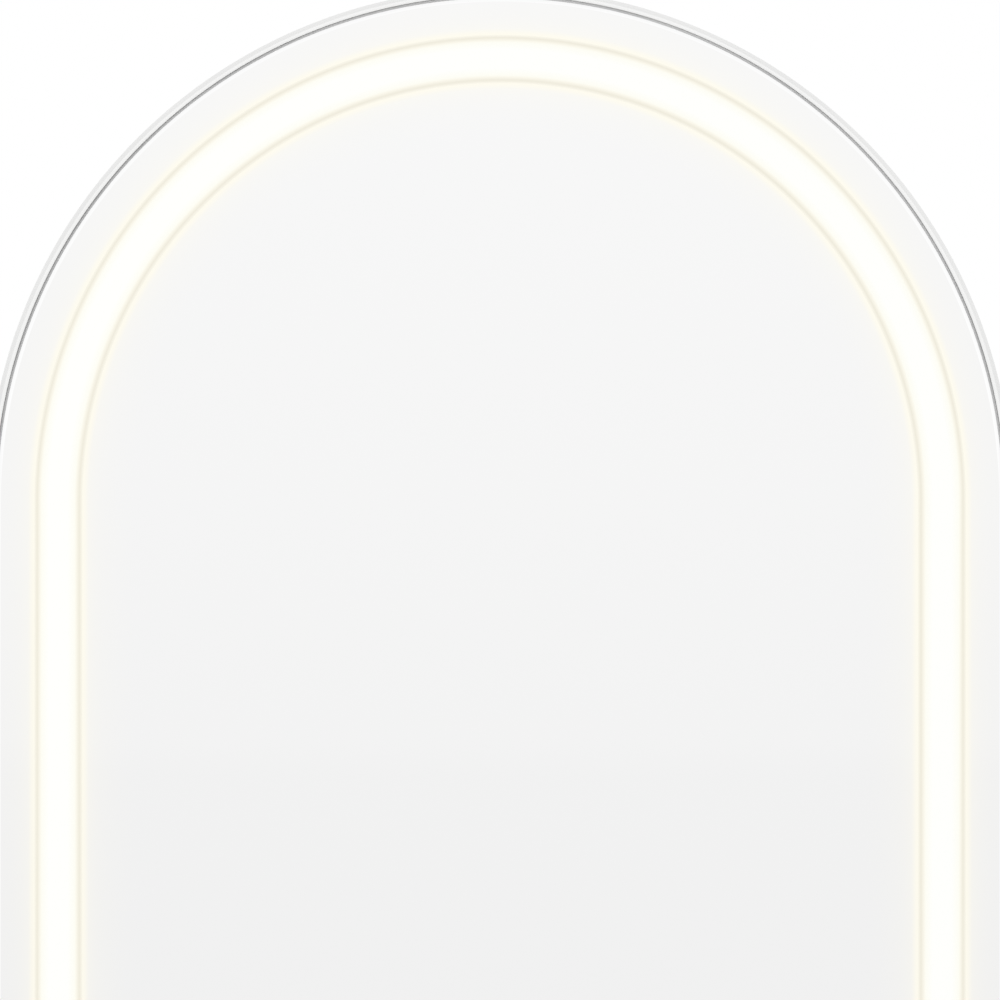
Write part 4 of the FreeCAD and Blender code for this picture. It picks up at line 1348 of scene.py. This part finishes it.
@dataclass
class RearHardware:
    """Hinges, hangers, the stand's sleeves and the feet."""

    palette: Palette
    pin_radius: float = 0.003
    head_radius: float = 0.005
    head_height: float = 0.0016
    dome_steps: int = 6
    bar_radius: float = 0.008
    sleeve_radius: float = 0.0105
    sleeve_round: float = 0.0012
    sleeve_steps: int = 2
    rib_count: int = 8
    groove_width: float = 0.0016
    groove_depth: float = 0.0007
    groove_slope: float = 0.00023
    sheet_round: float = 0.0004
    hanger_round: float = 0.00025
    hanger_corner: float = 0.004
    foot_round: float = 0.0012

    def across(self, name: str, node: str, outline: list[Point], slot: Slot, body: Body) -> None:
        """Turn a piece about the line along X through a node's middle.

        Args:
            name: The piece's name.
            node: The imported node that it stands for.
            outline: Its outline, each point a radius and a distance along; one that starts off the
                axis is closed.
            slot: The slot of its finish.
            body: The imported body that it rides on.
        """
        bm = bmesh.new()
        lathe(bm, outline, closed=outline[0][0] > 0)
        low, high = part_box(node)
        place = Matrix.Translation((low + high) / 2) @ Matrix.Rotation(math.radians(-90), 4, "Z")
        bmesh.ops.transform(bm, matrix=place, verts=bm.verts)
        deliver(name, bm, self.palette.material(slot), slot, node, body=body)

    def hinge_pin(self, side: str) -> None:
        """Make a hinge pin with a domed head at each end.

        Args:
            side: The side that it is on.
        """
        node = f"hinge_pin_{side}"
        low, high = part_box(node)
        end, height = (high.x - low.x) / 2, self.head_height
        half = [(self.head_radius * out, end - height + height * rise)
                for out, rise in quarter_round(self.dome_steps)]
        half.append((self.pin_radius, end - height))
        outline = half + [(reach, -along) for reach, along in reversed(half)]
        self.across(f"domed_pin_{side}", node, outline, Slot.STEEL, Body.MIRROR)

    def sleeve(self, side: str) -> None:
        """Make a rubber sleeve with grip grooves round it.

        Args:
            side: The side that it is on.
        """
        node = f"stand_sleeve_{side}"
        low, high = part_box(node)
        half, outer, eased = (high.x - low.x) / 2, self.sleeve_radius, self.sleeve_round
        floor, slope = outer - self.groove_depth, self.groove_slope
        corner = [(outer - eased + eased * out, half - eased + eased * rise)
                  for out, rise in quarter_round(self.sleeve_steps)]
        outline = [(self.bar_radius, -half)] + [(reach, -along) for reach, along in corner]
        for rib in range(1, self.rib_count):
            start = half * (2 * rib / self.rib_count - 1) - self.groove_width / 2
            end = start + self.groove_width
            outline += [(outer, start), (floor, start + slope), (floor, end - slope), (outer, end)]
        outline += corner[::-1] + [(self.bar_radius, half)]
        self.across(f"ribbed_sleeve_{side}", node, outline, Slot.RUBBER, Body.STAND)

    def build(self) -> None:
        """Make the hardware of both sides."""
        for side in SIDES:
            self.hinge_pin(side)
            self.sleeve(side)
            for copy in (
                EasedCopy(f"folded_bracket_{side}", f"hinge_bracket_{side}", Slot.PAINT, self.sheet_round),
                EasedCopy(f"hinge_tongue_{side}", f"stand_lug_{side}", Slot.PAINT, self.sheet_round,
                          body=Body.STAND),
                EasedCopy(f"keyhole_hanger_{side}", f"wall_hanger_{side}", Slot.ZINC, self.hanger_round,
                          end_corner_round=self.hanger_corner),
                EasedCopy(f"foot_pad_{side}", f"foot_{side}", Slot.RUBBER, self.foot_round, segments=3),
            ):
                copy.build(self.palette)


@dataclass(frozen=True)
class Lamp:
    """A soft square lamp that stays out of reflections."""

    name: str
    place: Place
    target: Place
    power: float
    size: float

    def hang(self) -> None:
        """Hang the lamp."""
        data = bpy.data.lights.new(self.name, "AREA")
        data.energy, data.size = self.power, self.size
        lamp = put(self.name, data)
        lamp.location = self.place
        lamp.rotation_euler = (Vector(self.target) - Vector(self.place)).to_track_quat("-Z", "Y").to_euler()
        lamp.visible_glossy = False


@dataclass
class Studio:
    """The pale floor, the soft lamps, the white surroundings and the camera."""

    lean: Lean
    path: ArchPath
    view_width: float = 0.5942
    view_inset: Point = (-0.00008, 0.00042)
    lens: float = 200.0
    sensor: float = 36.0
    pane_front: float = PANE_FRONT
    ambient: float = 0.62
    horizon_levels: tuple[Point, ...] = ((0.0, 0.9245), (0.100, 0.941), (0.1245, 0.9457), (0.1305, 0.959),
                                         (0.175, 0.978), (0.245, 1.0))
    side_levels: tuple[Point, ...] = ((0.0, 0.872), (0.45, 0.89), (0.85, 1.0))
    backdrop: Colour = (1.0, 1.0, 1.0)
    floor_reach: float = 14.0
    floor_colour: Colour = (0.90, 0.90, 0.90)
    floor_roughness: float = 0.9
    fade_from: float = 0.9
    fade_to: float = 3.2
    lamps: tuple[Lamp, ...] = (
        Lamp("key_lamp", (-1.9, -2.6, 2.9), (0, 0, 0.9), 44.0, 2.2),
        Lamp("fill_lamp", (2.4, -2.2, 1.8), (0, 0, 0.9), 20.0, 2.4),
        Lamp("back_lamp", (1.8, 2.8, 2.8), (0, 0, 0.8), 46.0, 2.2),
    )

    def camera(self) -> None:
        """Set the camera square on to the arch, at the photograph's framing."""
        data = bpy.data.cameras.new("camera")
        data.lens, data.sensor_width = self.lens, self.sensor
        camera = put("camera", data)
        distance = self.view_width * self.lens / self.sensor
        across, rise = self.view_inset
        place = Matrix.Translation((across, self.pane_front - distance, self.path.centre + rise))
        camera.matrix_world = self.lean.matrix() @ place @ Matrix.Rotation(math.radians(90), 4, "X")
        bpy.context.scene.camera = camera

    def surroundings(self) -> None:
        """White to the camera, a soft horizon to reflections, and a plain level of light to the rest."""
        world = bpy.data.worlds.new("surroundings")
        bpy.context.scene.world = world
        world.use_nodes = True
        bench = NodeBench(world.node_tree)
        direct, mirrored = bench.rays()
        _, y, z = bench.parts(bench.add("ShaderNodeTexCoord").outputs["Generated"])
        room = bench.add("ShaderNodeVectorMath", operation="MULTIPLY")
        bench.join(bench.grey_ramp(z, self.horizon_levels), room.inputs[0])
        bench.join(bench.grey_ramp(bench.math("ABSOLUTE", y), self.side_levels), room.inputs[1])
        light = bench.mix(mirrored, grey(self.ambient), room.outputs["Vector"])
        shown = bench.mix(direct, light, self.backdrop)
        bench.join(shown, world.node_tree.nodes["Background"].inputs["Color"])

    def floor_material(self) -> bpy.types.Material:
        """Make the floor's material: plain under the object, and fading into the backdrop further out.

        Returns:
            The material.
        """
        bench = MaterialBench("pale_floor")
        bench.set(Base_Color=opaque(self.floor_colour), Roughness=self.floor_roughness,
                  Specular_IOR_Level=0.0)
        place = bench.object_place()
        distance = bench.add("ShaderNodeVectorMath", operation="LENGTH")
        bench.join(place, distance.inputs[0])
        fade = bench.map_range(distance.outputs["Value"], (self.fade_from, self.fade_to), (0.0, 1.0),
                               interpolation_type="SMOOTHSTEP")
        way = bench.add("ShaderNodeVectorMath", operation="NORMALIZE")
        bench.join(place, way.inputs[0])
        _, y, _ = bench.parts(way.outputs["Vector"])
        horizon = self.horizon_levels[0][1]
        levels = tuple((across, share * horizon) for across, share in self.side_levels)
        room = bench.grey_ramp(bench.math("ABSOLUTE", y), levels)
        direct, mirrored = bench.rays()
        far = bench.add("ShaderNodeEmission")
        bench.join(bench.mix(direct, room, self.backdrop), far.inputs["Color"])
        seen = bench.math("MAXIMUM", mirrored, direct)
        blend = bench.add("ShaderNodeMixShader")
        bench.join(bench.math("MULTIPLY", fade, seen), blend.inputs["Fac"])
        bench.join(bench.shader.outputs[0], blend.inputs[1])
        bench.join(far.outputs[0], blend.inputs[2])
        bench.join(blend.outputs[0], bench.tree.nodes["Material Output"].inputs["Surface"])
        return bench.material

    def floor(self) -> None:
        """Lay the floor, which keeps the object's shadow."""
        bm = bmesh.new()
        bmesh.ops.create_grid(bm, x_segments=1, y_segments=1, size=self.floor_reach)
        mesh = mesh_of("floor", bm)
        mesh.materials.append(self.floor_material())
        put("floor", mesh)

    def build(self) -> None:
        """Set up the stage and the colour management."""
        self.camera()
        self.surroundings()
        self.floor()
        for lamp in self.lamps:
            lamp.hang()
        bpy.context.scene.view_settings.view_transform = "Standard"


def main() -> None:
    """Build the mirror's looks and the stage."""
    logging.basicConfig(level=logging.INFO, format="%(name)s: %(message)s")
    lean = Lean.of_packed_model()
    path = ArchPath()
    palette = Palette(lean, path)
    Studio(lean, path).build()
    SlimFrame(lean, path, palette).build()
    LightedPane(lean, path).build()
    BackPanel(lean, path, palette).build()
    Screws(lean, path, palette).build()
    RearHardware(palette).build()
    palette.dress_packed_nodes()


if __name__ == "__main__":
    main()
